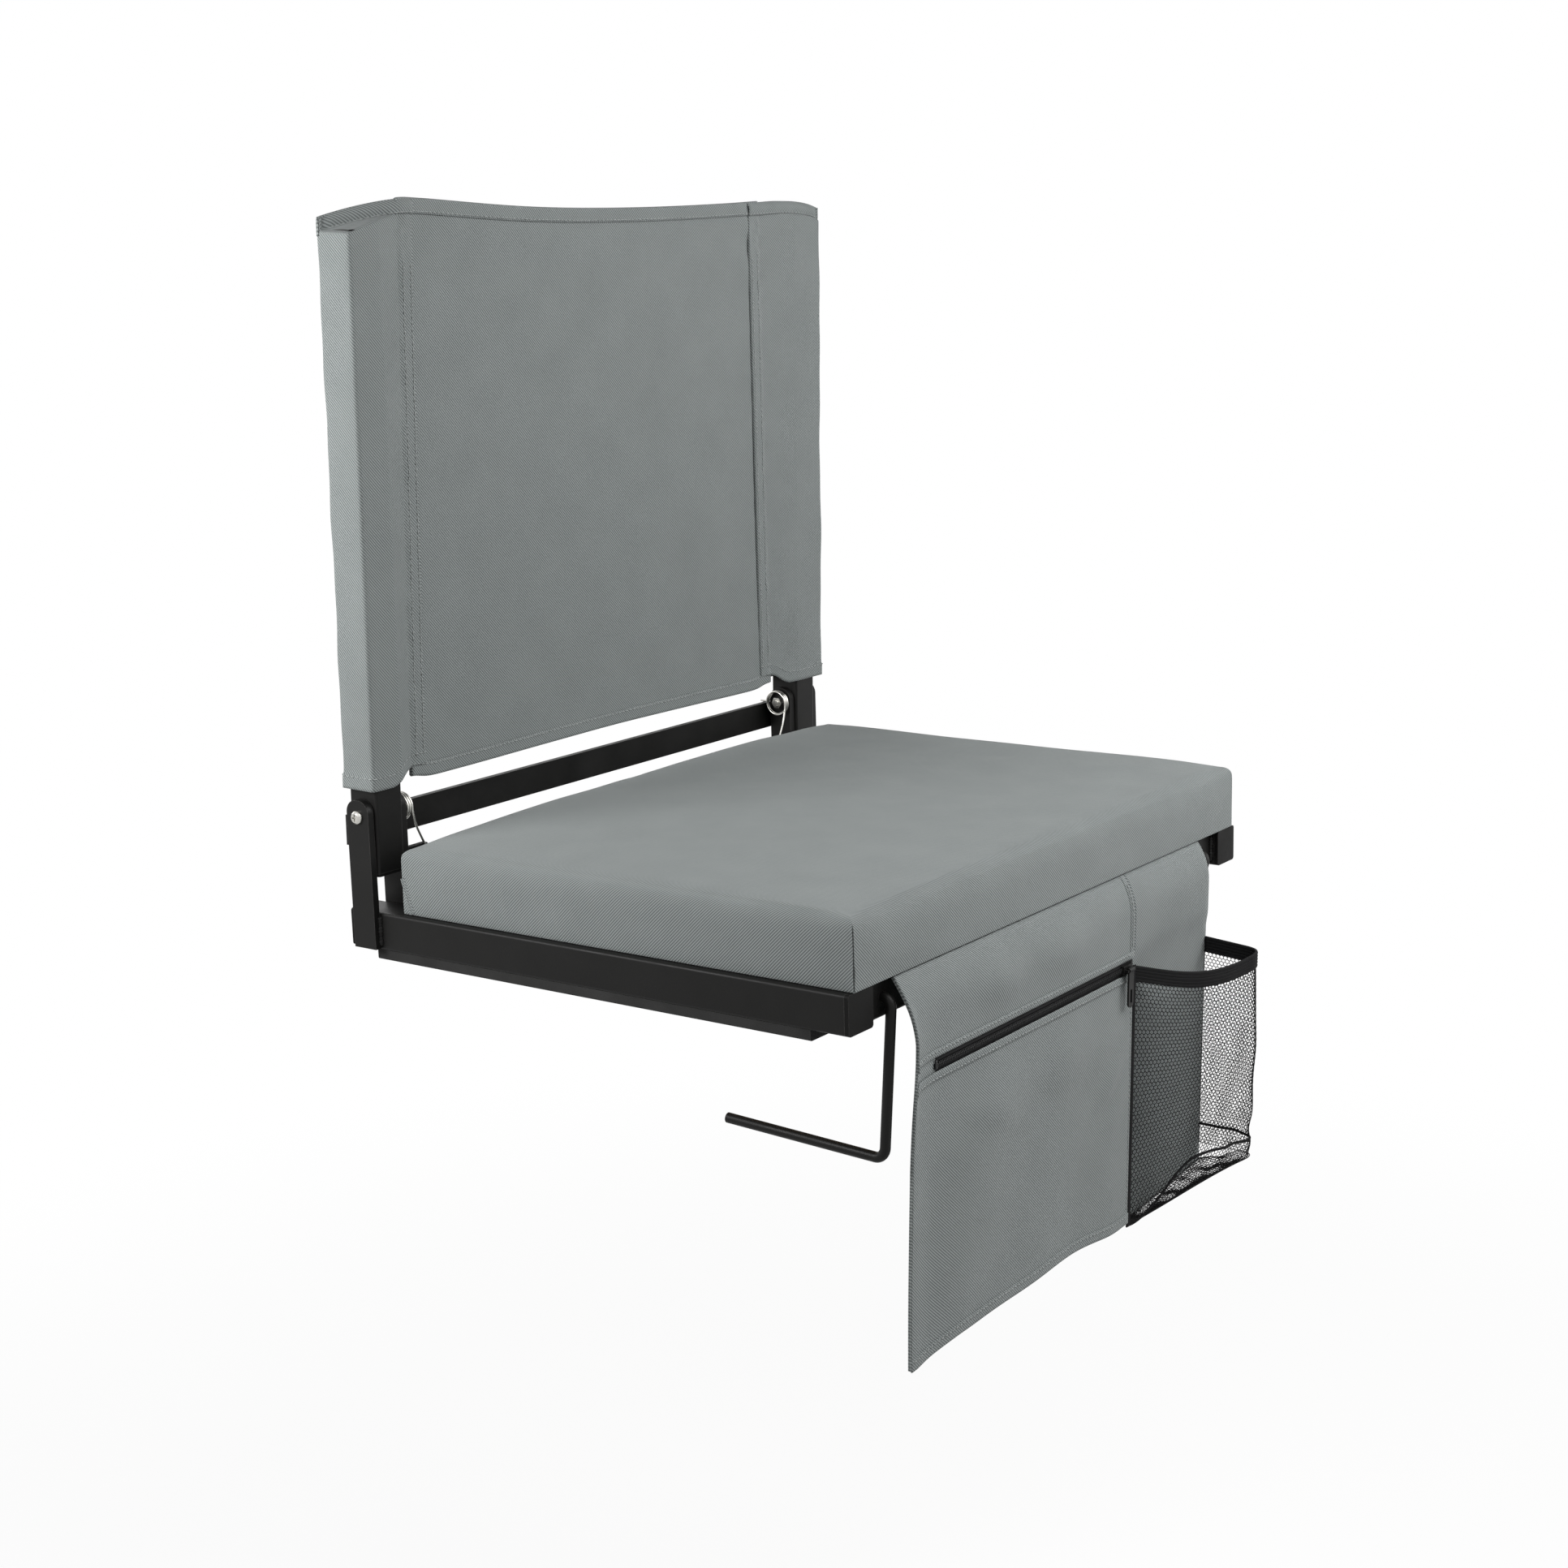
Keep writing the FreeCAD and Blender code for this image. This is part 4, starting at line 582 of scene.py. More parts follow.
def use_group(tree, kind, **values):
    """Place a group in a material, with its own values."""
    name, build = GROUPS[kind]
    node = add(tree, "ShaderNodeGroup", node_tree=bpy.data.node_groups.get(name) or build())
    for label, value in values.items():
        socket = node.inputs[label.replace("_", " ")]
        if isinstance(value, bpy.types.NodeSocket):
            tree.links.new(value, socket)
        else:
            socket.default_value = (*value[:3], 1) if hasattr(value, "__len__") else value
    return node


# Materials

def new_material(name):
    """A material with its shader, ready for nodes."""
    material = bpy.data.materials.new(name)
    material.use_nodes = True
    return material, material.node_tree, material.node_tree.nodes["Principled BSDF"]


def raise_bump(tree, shader, height, distance, strength=1.0):
    """Feed a height through a bump node to the shader."""
    bump_node = add(tree, "ShaderNodeBump")
    bump_node.inputs["Strength"].default_value = strength
    bump_node.inputs["Distance"].default_value = distance
    tree.links.new(height, bump_node.inputs["Height"])
    tree.links.new(bump_node.outputs["Normal"], shader.inputs["Normal"])


def weave_map(tree):
    """The piece's weave map."""
    return add(tree, "ShaderNodeUVMap", uv_map=WEAVE).outputs["UV"]


def twill_material():
    """Grey polyester twill."""
    cloth = bpy.context.scene.chair_cloth
    material, tree, shader = new_material("grey_twill")
    twill = use_group(tree, "twill", Vector=weave_map(tree), Ribs_per_metre=1 / cloth.rib,
                      Crest=cloth.twill_light, Groove=cloth.twill_shaded_groove, Drift=0.16)
    tree.links.new(twill.outputs["Color"], shader.inputs["Base Color"])
    tree.links.new(twill.outputs["Roughness"], shader.inputs["Roughness"])
    raise_bump(tree, shader, twill.outputs["Height"], 0.25 * MM, 0.7)
    shader.inputs["Specular IOR Level"].default_value = 0.3
    shader.inputs["Sheen Weight"].default_value = 0.08
    shader.inputs["Sheen Roughness"].default_value = 0.5
    return material


def thread_material():
    """Twisted polyester thread."""
    material, tree, shader = new_material("sewing_thread")
    colour = bpy.context.scene.chair_cloth.thread
    grain = use_group(tree, "grain", Grains_per_metre=2600, Smoothest=0.6, Roughest=0.8)
    dark = [channel * 0.72 for channel in colour]
    tree.links.new(mix_colours(tree, grain.outputs["Height"], dark, colour), shader.inputs["Base Color"])
    tree.links.new(grain.outputs["Roughness"], shader.inputs["Roughness"])
    raise_bump(tree, shader, grain.outputs["Height"], 0.1 * MM)
    return material


def tape_material():
    """Black woven tape and elastic, its raised cords lightened as a painted sheen."""
    material, tree, shader = new_material("black_tape")
    colour = bpy.context.scene.chair_finish.net
    tape = use_group(tree, "tape", Vector=weave_map(tree), Cords_per_metre=1100)
    # Painted sheen: the raised cord crossings take a lighter colour
    light = [channel * 2.6 for channel in colour]
    tree.links.new(mix_colours(tree, tape.outputs["Mask"], colour, light), shader.inputs["Base Color"])
    grain = use_group(tree, "grain", Grains_per_metre=1500, Smoothest=0.62, Roughest=0.8)
    tree.links.new(grain.outputs["Roughness"], shader.inputs["Roughness"])
    raise_bump(tree, shader, tape.outputs["Height"], 0.2 * MM, 0.7)
    shader.inputs["Specular IOR Level"].default_value = 0.1
    return material


def coated(name, colour, worn_and_lit, grains, smoothest, roughest, peel, wear_and_highlight, width=1.1 * MM, level=0.4):
    """A dark coat or moulding with grain, cloudiness, and edges lightened partly by wear and partly by a
    painted highlight.
    """
    material, tree, shader = new_material(name)
    grain = use_group(tree, "grain", Grains_per_metre=grains, Smoothest=smoothest, Roughest=roughest)
    rubbed_and_lit = use_group(tree, "wear_and_highlight", Width=width, Amount=wear_and_highlight)
    pale = [channel * 1.5 for channel in colour]
    clouded = mix_colours(tree, grain.outputs["Cloud"], colour, pale)
    # Edges take the lighter colour: partly wear, partly a painted highlight where the edges catch the light
    tree.links.new(mix_colours(tree, rubbed_and_lit.outputs["Mask"], clouded, worn_and_lit), shader.inputs["Base Color"])
    tree.links.new(grain.outputs["Roughness"], shader.inputs["Roughness"])
    raise_bump(tree, shader, grain.outputs["Height"], peel)
    shader.inputs["Specular IOR Level"].default_value = level
    return material


def steel_material():
    """Satin black powder coat."""
    finish = bpy.context.scene.chair_finish
    return coated("frame_steel", finish.coat, finish.coat_worn_and_lit, grains=1500, smoothest=0.34, roughest=0.5,
                  peel=0.08 * MM, wear_and_highlight=1.0, width=0.7 * MM, level=0.13)


def plastic_material():
    """Black moulded plastic."""
    finish = bpy.context.scene.chair_finish
    return coated("cap_plastic", finish.plastic, finish.coat_worn_and_lit, grains=2200, smoothest=0.42, roughest=0.58,
                  peel=0.05 * MM, wear_and_highlight=0.6, width=0.6 * MM, level=0.07)


def rubber_material():
    """Black rubber."""
    finish = bpy.context.scene.chair_finish
    return coated("runner_rubber", finish.rubber, finish.coat_worn_and_lit, 700, 0.7, 0.9, 0.12 * MM, 0.4)


def net_material():
    """Black knitted strands."""
    finish = bpy.context.scene.chair_finish
    return coated("black_mesh", finish.net, finish.coat_worn_and_lit, 3000, 0.55, 0.75, 0.1 * MM, 0.0, level=0.1)


def zip_plastic_material():
    """Black nylon zip teeth."""
    finish = bpy.context.scene.chair_finish
    return coated("zip_plastic", finish.net, finish.coat_worn_and_lit, 2500, 0.3, 0.42, 0.03 * MM, 0.5, 0.3 * MM, 0.2)


def zip_metal_material():
    """Black enamel on the slider and its pull."""
    finish = bpy.context.scene.chair_finish
    return coated("zip_metal", finish.coat, finish.coat_worn_and_lit, 2500, 0.25, 0.4, 0.03 * MM, 0.5, 0.4 * MM, 0.2)


def plated(name, colour, smoothest, roughest):
    """Zinc plate: bright metal with fine brushing and duller patches."""
    material, tree, shader = new_material(name)
    grain = use_group(tree, "grain", Grains_per_metre=1800, Smoothest=smoothest, Roughest=roughest)
    dull = [channel * 0.62 for channel in colour]
    tree.links.new(mix_colours(tree, grain.outputs["Cloud"], dull, colour), shader.inputs["Base Color"])
    tree.links.new(grain.outputs["Roughness"], shader.inputs["Roughness"])
    raise_bump(tree, shader, grain.outputs["Height"], 0.03 * MM)
    shader.inputs["Metallic"].default_value = 1
    return material


def zinc_material():
    """Plated bolts, nuts, washers and screws."""
    return plated("zinc_steel", bpy.context.scene.chair_finish.zinc, 0.2, 0.38)


def spring_material():
    """Plated spring wire."""
    return plated("spring_steel", bpy.context.scene.chair_finish.zinc, 0.18, 0.32)


def nylon_material():
    """Natural nylon washers."""
    material, tree, shader = new_material("nylon")
    grain = use_group(tree, "grain", Grains_per_metre=1600, Smoothest=0.4, Roughest=0.55)
    tree.links.new(mix_colours(tree, grain.outputs["Cloud"], (0.62, 0.6, 0.54), (0.74, 0.72, 0.66)),
                   shader.inputs["Base Color"])
    tree.links.new(grain.outputs["Roughness"], shader.inputs["Roughness"])
    raise_bump(tree, shader, grain.outputs["Height"], 0.04 * MM)
    return material


def plywood_material():
    """Unfinished plywood: long grain on the faces, plies along the edges."""
    material, tree, shader = new_material("plywood")
    place = add(tree, "ShaderNodeTexCoord")
    stretch = add(tree, "ShaderNodeMapping")
    stretch.inputs["Scale"].default_value = (4, 60, 700)
    tree.links.new(place.outputs["Object"], stretch.inputs["Vector"])
    fibre = add(tree, "ShaderNodeTexNoise")
    fibre.inputs["Scale"].default_value = 2.2
    fibre.inputs["Detail"].default_value = 7
    fibre.inputs["Distortion"].default_value = 0.6
    tree.links.new(stretch.outputs["Vector"], fibre.inputs["Vector"])
    colour = mix_colours(tree, fibre.outputs["Fac"], (0.36, 0.22, 0.11), (0.66, 0.5, 0.32))
    tree.links.new(colour, shader.inputs["Base Color"])
    grain = use_group(tree, "grain", Grains_per_metre=600, Smoothest=0.7, Roughest=0.88)
    tree.links.new(grain.outputs["Roughness"], shader.inputs["Roughness"])
    raise_bump(tree, shader, fibre.outputs["Fac"], 0.2 * MM)
    return material


def kept(build):
    """Build a material the first time and hand out the same one after that."""
    made = []

    def get():
        if not made:
            made.append(build())
        return made[0]
    return get


FINISHES = {
    "grey_twill": kept(twill_material), "sewing_thread": kept(thread_material),
    "black_tape": kept(tape_material),
    "frame_steel": kept(steel_material), "cap_plastic": kept(plastic_material),
    "runner_rubber": kept(rubber_material), "black_mesh": kept(net_material),
    "zip_plastic": kept(zip_plastic_material), "zip_metal": kept(zip_metal_material),
    "zinc_steel": kept(zinc_material), "spring_steel": kept(spring_material), "nylon": kept(nylon_material),
    "plywood": kept(plywood_material),
}


# Stage

# Each lamp's name, place, aim and width in metres
LAMPS = (
    ("key", (-1.9, -0.5, 1.5), (0, 0, 0.2), 1.4),
    ("front", (-0.1, -0.62, 0.78), (0, -0.2, 0.1), 0.5),
    ("fill", (0.6, -0.9, 0.6), (0.1, -0.1, 0.05), 0.6),
    ("side", (-0.8, 0.45, 0.45), (-0.25, 0.18, 0.3), 0.35),
    ("rear", (0.5, 1.9, 0.9), (0, 0.1, 0.2), 1.4),
)
FLOOR_NEAR = 0.6
FLOOR_FAR = 1.4
FLOOR_WHITE = 0.88


def place_camera(stage):
    """Camera where the photograph was taken."""
    data = bpy.data.cameras.new("camera")
    data.sensor_width = 36
    data.lens = stage.lens
    data.clip_start = 0.05
    data.clip_end = 50
    camera = bpy.data.objects.new("camera", data)
    bpy.context.scene.collection.objects.link(camera)
    turn, tilt = stage.azimuth, stage.elevation
    back = Vector((math.sin(turn) * math.cos(tilt), -math.cos(turn) * math.cos(tilt), math.sin(tilt)))
    right = Vector((math.cos(turn), math.sin(turn), 0))
    up = back.cross(right)
    rolled_right = right * math.cos(stage.roll) + up * math.sin(stage.roll)
    rolled_up = up * math.cos(stage.roll) - right * math.sin(stage.roll)
    axes = Matrix((rolled_right, rolled_up, back)).transposed().to_4x4()
    camera.matrix_world = Matrix.Translation(stage.eye) @ axes
    bpy.context.scene.camera = camera


def place_lamp(name, power, spot, aim, size):
    """A soft square lamp."""
    data = bpy.data.lights.new(name, "AREA")
    data.energy = power
    data.shape = "SQUARE"
    data.size = size
    lamp = bpy.data.objects.new(name, data)
    bpy.context.scene.collection.objects.link(lamp)
    lamp.location = spot
    lamp.rotation_euler = (Vector(aim) - Vector(spot)).to_track_quat("-Z", "Y").to_euler()


def seen_share(tree):
    """1 for rays from the camera, mirrors and glass, and 0 for light."""
    path = add(tree, "ShaderNodeLightPath")
    seen = math_node(tree, "MAXIMUM", path.outputs["Is Camera Ray"], path.outputs["Is Glossy Ray"])
    return math_node(tree, "MAXIMUM", seen, path.outputs["Is Transmission Ray"])


def light_world(ambient):
    """Even light all round, and plain white behind the chair."""
    world = bpy.data.worlds.new("studio")
    bpy.context.scene.world = world
    world.use_nodes = True
    tree = world.node_tree
    lit = tree.nodes["Background"]
    lit.inputs["Color"].default_value = (1, 1, 1, 1)
    lit.inputs["Strength"].default_value = ambient
    seen = add(tree, "ShaderNodeBackground")
    seen.inputs["Strength"].default_value = 1
    seen.inputs["Color"].default_value = (1, 1, 1, 1)
    both = add(tree, "ShaderNodeMixShader")
    tree.links.new(seen_share(tree), both.inputs["Fac"])
    tree.links.new(lit.outputs[0], both.inputs[1])
    tree.links.new(seen.outputs[0], both.inputs[2])
    tree.links.new(both.outputs[0], tree.nodes["World Output"].inputs["Surface"])


def lay_floor(level):
    """A wide pale floor that keeps a soft shadow and fades to plain white away from the chair."""
    half = 6.0
    mesh = bpy.data.meshes.new("floor")
    mesh.from_pydata([(-half, -half, level), (half, -half, level), (half, half, level), (-half, half, level)],
                     [], [(0, 1, 2, 3)])
    floor = bpy.data.objects.new("floor", mesh)
    bpy.context.scene.collection.objects.link(floor)
    material, tree, shader = new_material("floor_paper")
    grain = add(tree, "ShaderNodeTexNoise")
    grain.inputs["Scale"].default_value = 60
    tree.links.new(mix_colours(tree, grain.outputs["Fac"], (0.9, 0.9, 0.9), (0.93, 0.93, 0.93)),
                   shader.inputs["Base Color"])
    shader.inputs["Roughness"].default_value = 0.9
    shader.inputs["Specular IOR Level"].default_value = 0.1
    spot = add(tree, "ShaderNodeNewGeometry")
    away = add(tree, "ShaderNodeVectorMath", operation="LENGTH")
    tree.links.new(spot.outputs["Position"], away.inputs[0])
    fade = add(tree, "ShaderNodeMapRange", interpolation_type="SMOOTHSTEP")
    tree.links.new(away.outputs["Value"], fade.inputs["Value"])
    ends = (("From Min", FLOOR_NEAR), ("From Max", FLOOR_FAR), ("To Min", FLOOR_WHITE), ("To Max", 1))
    for label, value in ends:
        fade.inputs[label].default_value = value
    white = add(tree, "ShaderNodeEmission")
    white.inputs["Color"].default_value = (1, 1, 1, 1)
    white.inputs["Strength"].default_value = 1
    both = add(tree, "ShaderNodeMixShader")
    tree.links.new(math_node(tree, "MULTIPLY", fade.outputs["Result"], seen_share(tree)), both.inputs["Fac"])
    tree.links.new(shader.outputs[0], both.inputs[1])
    tree.links.new(white.outputs[0], both.inputs[2])
    tree.links.new(both.outputs[0], tree.nodes["Material Output"].inputs["Surface"])
    mesh.materials.append(material)


class CHAIR_OT_set_stage(bpy.types.Operator):
    """Set the camera, the lamps and the floor"""
    bl_idname = "chair.set_stage"
    bl_label = "Set stage"

    def execute(self, context):
        stage = context.scene.chair_stage
        context.scene.view_settings.view_transform = "Standard"
        place_camera(stage)
        light_world(stage.ambient)
        for name, spot, aim, size in LAMPS:
            place_lamp(f"{name}_lamp", getattr(stage, f"{name}_power"), spot, aim, size)
        lay_floor(CAD_BOX[0].z - stage.floor_drop)
        return {"FINISHED"}


# Frame

FRAME_FINISHES = {
    "rail_": "frame_steel", "front_cross": "frame_steel", "rear_cross": "frame_steel",
    "bracket_": "frame_steel",
    "spring_tab": "frame_steel", "upright_": "frame_steel", "stop_bar": "frame_steel",
    "bench_hook": "frame_steel", "cap_": "cap_plastic", "plug_": "cap_plastic", "runner_": "runner_rubber",
    "pivot_bolt": "zinc_steel", "pivot_nut": "zinc_steel", "hook_washer": "zinc_steel",
    "board_screw": "zinc_steel", "torsion_spring": "spring_steel", "pivot_washer": "nylon",
    "seat_board": "plywood", "zip_slider": "zip_metal", "zip_pull": "zip_metal",
}


def finish_nodes():
    """Give each solid that stays its own finish."""
    for name, node in frame["nodes"].items():
        for start, finish in FRAME_FINISHES.items():
            if name.startswith(start):
                node.data.materials.clear()
                node.data.materials.append(FINISHES[finish]())


BEAD_RADIUS = 2.2 * MM


def bead(start, end, outward, radius, seed):
    """Points and faces of one lumpy weld bead along a straight joint."""
    start, end, outward = (np.array(item, float) for item in (start, end, outward))
    places = spread(0, np.linalg.norm(end - start), 0.7 * MM)
    heading = unit(end - start)
    side = np.cross(heading, outward)
    turn = np.linspace(0, 2 * math.pi, 9)[:-1]
    lump = 1 + 0.16 * np.sin(places / (0.36 * MM) + seed) + 0.12 * np.sin(places / (1.3 * MM) + 2.1 * seed)
    taper = np.sqrt(np.clip(np.minimum(places, places[-1] - places) / (1.6 * MM), 0.05, 1))
    rows = []
    for place, width in zip(places, radius * lump * taper):
        middle = start + heading * place
        rows.append([middle + width * (side * math.cos(a) + outward * math.sin(a)) for a in turn])
    return np.array(rows)


def weld_lines():
    """Where the frame is welded: brackets and cross tubes on the rails, tabs on their brackets."""
    lines = []
    for side, sign in SIDES:
        rail_low, rail_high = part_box(f"rail_{side}")
        for level in ("outer", "inner"):
            low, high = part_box(f"bracket_{level}_{side}")
            rail_face = max(rail_high.x * sign, rail_low.x * sign) if level == "outer" else \
                min(rail_high.x * sign, rail_low.x * sign)
            facing = sign if level == "outer" else -sign
            for y in (low.y, high.y):
                x = sign * rail_face
                lines.append(((x, y, low.z + 2 * MM), (x, y, rail_high.z - 2 * MM), (facing, 0, 0)))
        inner = sign * min(rail_high.x * sign, rail_low.x * sign)
        for tube in ("front_cross_tube", "rear_cross_tube"):
            low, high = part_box(tube)
            for y, facing in ((low.y, -1), (high.y, 1)):
                lines.append(((inner, y, low.z + 3 * MM), (inner, y, high.z - 3 * MM), (0, facing, 0)))
        low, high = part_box(f"spring_tab_{side}")
        root = sign * max(low.x * sign, high.x * sign)
        lines.append(((root, low.y, low.z + MM), (root, low.y, high.z - MM), (0, -1, 0)))
    return lines


def weld_beads():
    """Weld beads of the seat frame as one piece."""
    points = []
    faces = []
    for number, (start, end, outward) in enumerate(weld_lines()):
        rows = bead(start, end, outward, BEAD_RADIUS, number * 1.3)
        ring = grid_faces(*rows.shape[:2], ring=True)
        faces += [[corner + len(points) for corner in face] for face in ring]
        points += list(rows.reshape(-1, 3))
    new_piece("weld_beads", points, faces, None, FINISHES["frame_steel"](), "seat_body")


def recessed_bolt(side, sign):
    """Pivot bolt with a cross recess sunk in its head."""
    name = f"pivot_bolt_{side}"
    low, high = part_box(name)
    middle = (low + high) / 2
    face = high.x if sign > 0 else low.x
    cutter = bmesh.new()
    for width, height in ((0.95, 4.6), (4.6, 0.95)):
        made = bmesh.ops.create_cube(cutter, size=MM)
        bmesh.ops.scale(cutter, verts=made["verts"], vec=(2.6, width, height))
        bmesh.ops.translate(cutter, verts=made["verts"], vec=(face, middle.y, middle.z))
    mesh = bpy.data.meshes.new("recess")
    cutter.to_mesh(mesh)
    cutter.free()
    tool = bpy.data.objects.new("recess", mesh)
    bpy.context.scene.collection.objects.link(tool)
    bolt = bpy.data.objects.new(f"bolt_{side}", frame["nodes"][name].data.copy())
    bpy.context.scene.collection.objects.link(bolt)
    cut = bolt.modifiers.new("recess", "BOOLEAN")
    cut.object = tool
    cut.solver = "EXACT"
    cut.use_self = True
    settle(bolt)
    bpy.data.objects.remove(tool)
    bolt.data.materials.clear()
    bolt.data.materials.append(FINISHES["zinc_steel"]())
    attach(bolt, "seat_body")
    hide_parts(name)


class CHAIR_OT_finish_frame(bpy.types.Operator):
    """Finish the steel, plastic and rubber, and add welds and bolt recesses"""
    bl_idname = "chair.finish_frame"
    bl_label = "Finish frame"

    def execute(self, context):
        finish_nodes()
        weld_beads()
        for side, sign in SIDES:
            recessed_bolt(side, sign)
        return {"FINISHED"}


# Seat cushion

# In millimetres
CUSHION_ROUND = 6.5  # radius of the upper fold
CUSHION_STEP = 7
CUSHION_CROWD = (0, 0.8, 2.4)  # points beside each corner
CUSHION_UNDER = (1, 8, 18, 30)  # how far in the turned-under rings lie
CUSHION_DRAWN = 1.6  # how far the sides are drawn in before they swell
CUSHION_SLACK = 1.4  # how far below its box the cover starts
CUSHION_FOLD = 1.0
CUSHION_WAVE = 0.3
SLIT_DEEP = 1.8
SWELL_CAP = 1.6
CUSHION_REAR = 5.5  # rise of the rear edge's middle
CUSHION_RIGHT = 2.5  # rise of the right edge
CUSHION_CROWN = 1.5  # rise of the middle


def side_places(half, count):
    """Places along a side from its middle, crowded beside the corners."""
    far = CUSHION_CROWD[-1]
    even = np.linspace(far - half, half - far, count)
    ends = np.array(CUSHION_CROWD[:-1])
    return np.concatenate([ends - half, even, half - ends[::-1]])


def round_ring(wide, deep, counts):
    """Points round a rectangle about its middle: front, right, rear, left."""
    x = side_places(wide, counts[0])
    y = side_places(deep, counts[1])
    front = [(a, -deep) for a in x[:-1]]
    right = [(wide, b) for b in y[:-1]]
    rear = [(a, deep) for a in x[:0:-1]]
    left = [(-wide, b) for b in y[:0:-1]]
    return np.array(front + right + rear + left), x, y


def cushion_rows(high):
    """Rings from the top's edge round the fold, down the side and under: (out, drop, cloth run)."""
    turns = np.linspace(0, math.pi / 2, 5)[1:]
    fold = CUSHION_ROUND
    rows = [(fold * math.sin(a), fold * (1 - math.cos(a)), fold * a) for a in turns]
    bend = CUSHION_ROUND * (math.pi / 2 - 1)
    for drop in [*np.linspace(CUSHION_ROUND, high - CUSHION_FOLD, 7)[1:], high]:
        rows.append((CUSHION_ROUND, drop, drop + bend))
    for inward in CUSHION_UNDER:
        rows.append((CUSHION_ROUND - inward, high, high + bend + inward))
    return rows


OUTWARD = np.array([(0, -1), (1, 0), (0, 1), (-1, 0)])


def cushion_rise(x, y, half):
    """How far the foam lifts the cover: a crown highest towards the rear, and a fuller right side."""
    across = np.clip(x / half[0], -1, 1)
    behind = np.clip(y / half[1] / 2 + 0.5, 0, 1)
    right = CUSHION_RIGHT * (across + 1) / 2 * smooth(-0.1, 0.2, behind)
    crown = CUSHION_CROWN * (1 - across ** 2) * 4 * behind * (1 - behind)
    return right + CUSHION_REAR * behind ** 1.5 * (1 - np.abs(across) ** 3) + crown


def cushion_start(low, high):
    """The cover before it swells: points and faces, the weave on each face corner and the held points."""
    half = (high - low)[:2] / 2 - CUSHION_ROUND
    middle = (high + low) / 2
    tall = high[2] - low[2]
    counts = [int(round(2 * side / CUSHION_STEP)) + 1 for side in half]
    there, x, y = round_ring(*half, counts)
    wide, deep = len(x), len(y)
    top = np.array([(a, b) for b in y for a in x])
    crown = (1 - (top[:, 0] / half[0]) ** 2) * (1 - (top[:, 1] / half[1]) ** 2)
    level = high[2] - CUSHION_SLACK * (1 - 0.6 * crown) + cushion_rise(*top.T, half)
    points = [np.column_stack([top, level])]
    faces = [list(face) for face in grid_faces(deep, wide)]
    weave = [[top[corner] for corner in face] for face in faces]
    before = np.array([*range(wide - 1), *(row * wide + wide - 1 for row in range(deep - 1)),
                       *((deep - 1) * wide + a for a in range(wide - 1, 0, -1)),
                       *(row * wide for row in range(deep - 1, 0, -1))])
    count = len(before)
    corners = np.cumsum([0, wide - 1, deep - 1, wide - 1])
    side = np.searchsorted(corners, np.arange(count), side="right") - 1
    to_corner = np.min(np.abs(np.arange(count)[:, None] - np.append(corners, count)), axis=1)
    held = []
    above = 0
    for out, drop, run in cushion_rows(tall):
        here = round_ring(*(half + out), counts)[0]
        reach = np.where(side % 2 == 0, here[:, 0] / (half[0] + out), here[:, 1] / (half[1] + out))
        pull = CUSHION_DRAWN * (1 - reach ** 2) * (CUSHION_ROUND < drop < tall - CUSHION_FOLD)
        level = low[2] + (1 - drop / tall) * (tall - CUSHION_SLACK + cushion_rise(*here.T, half))
        now = sum(len(part) for part in points) + np.arange(count)
        points.append(np.column_stack([here - OUTWARD[side] * pull[:, None], level]))
        for number in range(count):
            following = (number + 1) % count
            away = OUTWARD[side[number]]
            faces.append([before[number], now[number], now[following], before[following]])
            weave.append([np.where(away != 0, half * away + away * far, spot) for far, spot in
                          ((above, there[number]), (run, here[number]), (run, here[following]),
                           (above, there[following]))])
        held += list(now[to_corner < 2] if drop < tall - CUSHION_FOLD else now)
        before, there, above = now, here, run
    faces.append(list(before)[::-1])
    weave.append([(0, 0)] * count)
    return np.concatenate(points) + (middle[0], middle[1], 0), faces, weave, held


def blow_up(piece, fixed, cap):
    """Let the cover swell under the foam's push, holding its foot, and keep every point within a cap."""
    start = np.array([vertex.co for vertex in piece.data.vertices])
    held = piece.vertex_groups.new(name="held")
    held.add([int(number) for number in fixed], 1.0, "REPLACE")
    cloth = piece.modifiers.new("swell", "CLOTH")
    cloth.settings.vertex_group_mass = "held"
    cloth.settings.quality = 6
    cloth.settings.mass = 0.3
    cloth.settings.tension_stiffness = 40
    cloth.settings.compression_stiffness = 40
    cloth.settings.bending_stiffness = 2
    cloth.settings.use_pressure = True
    cloth.settings.uniform_pressure_force = 4
    cloth.settings.effector_weights.gravity = 0
    scene = bpy.context.scene
    for number in range(1, 21):
        scene.frame_set(number)
    settle(piece)
    scene.frame_set(1)
    moved = np.array([vertex.co for vertex in piece.data.vertices])
    shift = moved - start
    far = np.linalg.norm(shift, axis=1, keepdims=True)
    kept_shift = shift * np.minimum(1, cap / np.maximum(far, 1e-9))
    piece.data.vertices.foreach_set("co", (start + kept_shift).astype(np.float32).ravel())
    piece.data.update()


def open_foot(piece, sides):
    """Take away the face that closed the cover's foot."""
    shape = bmesh.new()
    shape.from_mesh(piece.data)
    bmesh.ops.delete(shape, geom=[face for face in shape.faces if len(face.verts) == sides], context="FACES")
    shape.to_mesh(piece.data)
    shape.free()


def crease_corners(co, low, high):
    """Sink a narrow slit down each front corner, where the cover's two edges meet."""
    for sign in (-1, 1):
        corner = np.array((sign * (high.x - low.x) / 2, low.y))
        inward = np.array((-sign, 1)) / math.sqrt(2)
        offset = co[:, :2] - corner
        aside = np.abs(offset @ np.array((inward[1], -inward[0])))
        inside = (aside < 0.2 * MM) & (offset @ inward < 3 * MM)
        tall = smooth(low.z, low.z + 2 * MM, co[:, 2]) * smooth(high.z - 4 * MM, high.z - 8 * MM, co[:, 2])
        co[:, :2] += inward * (SLIT_DEEP * MM * inside * tall)[:, None]


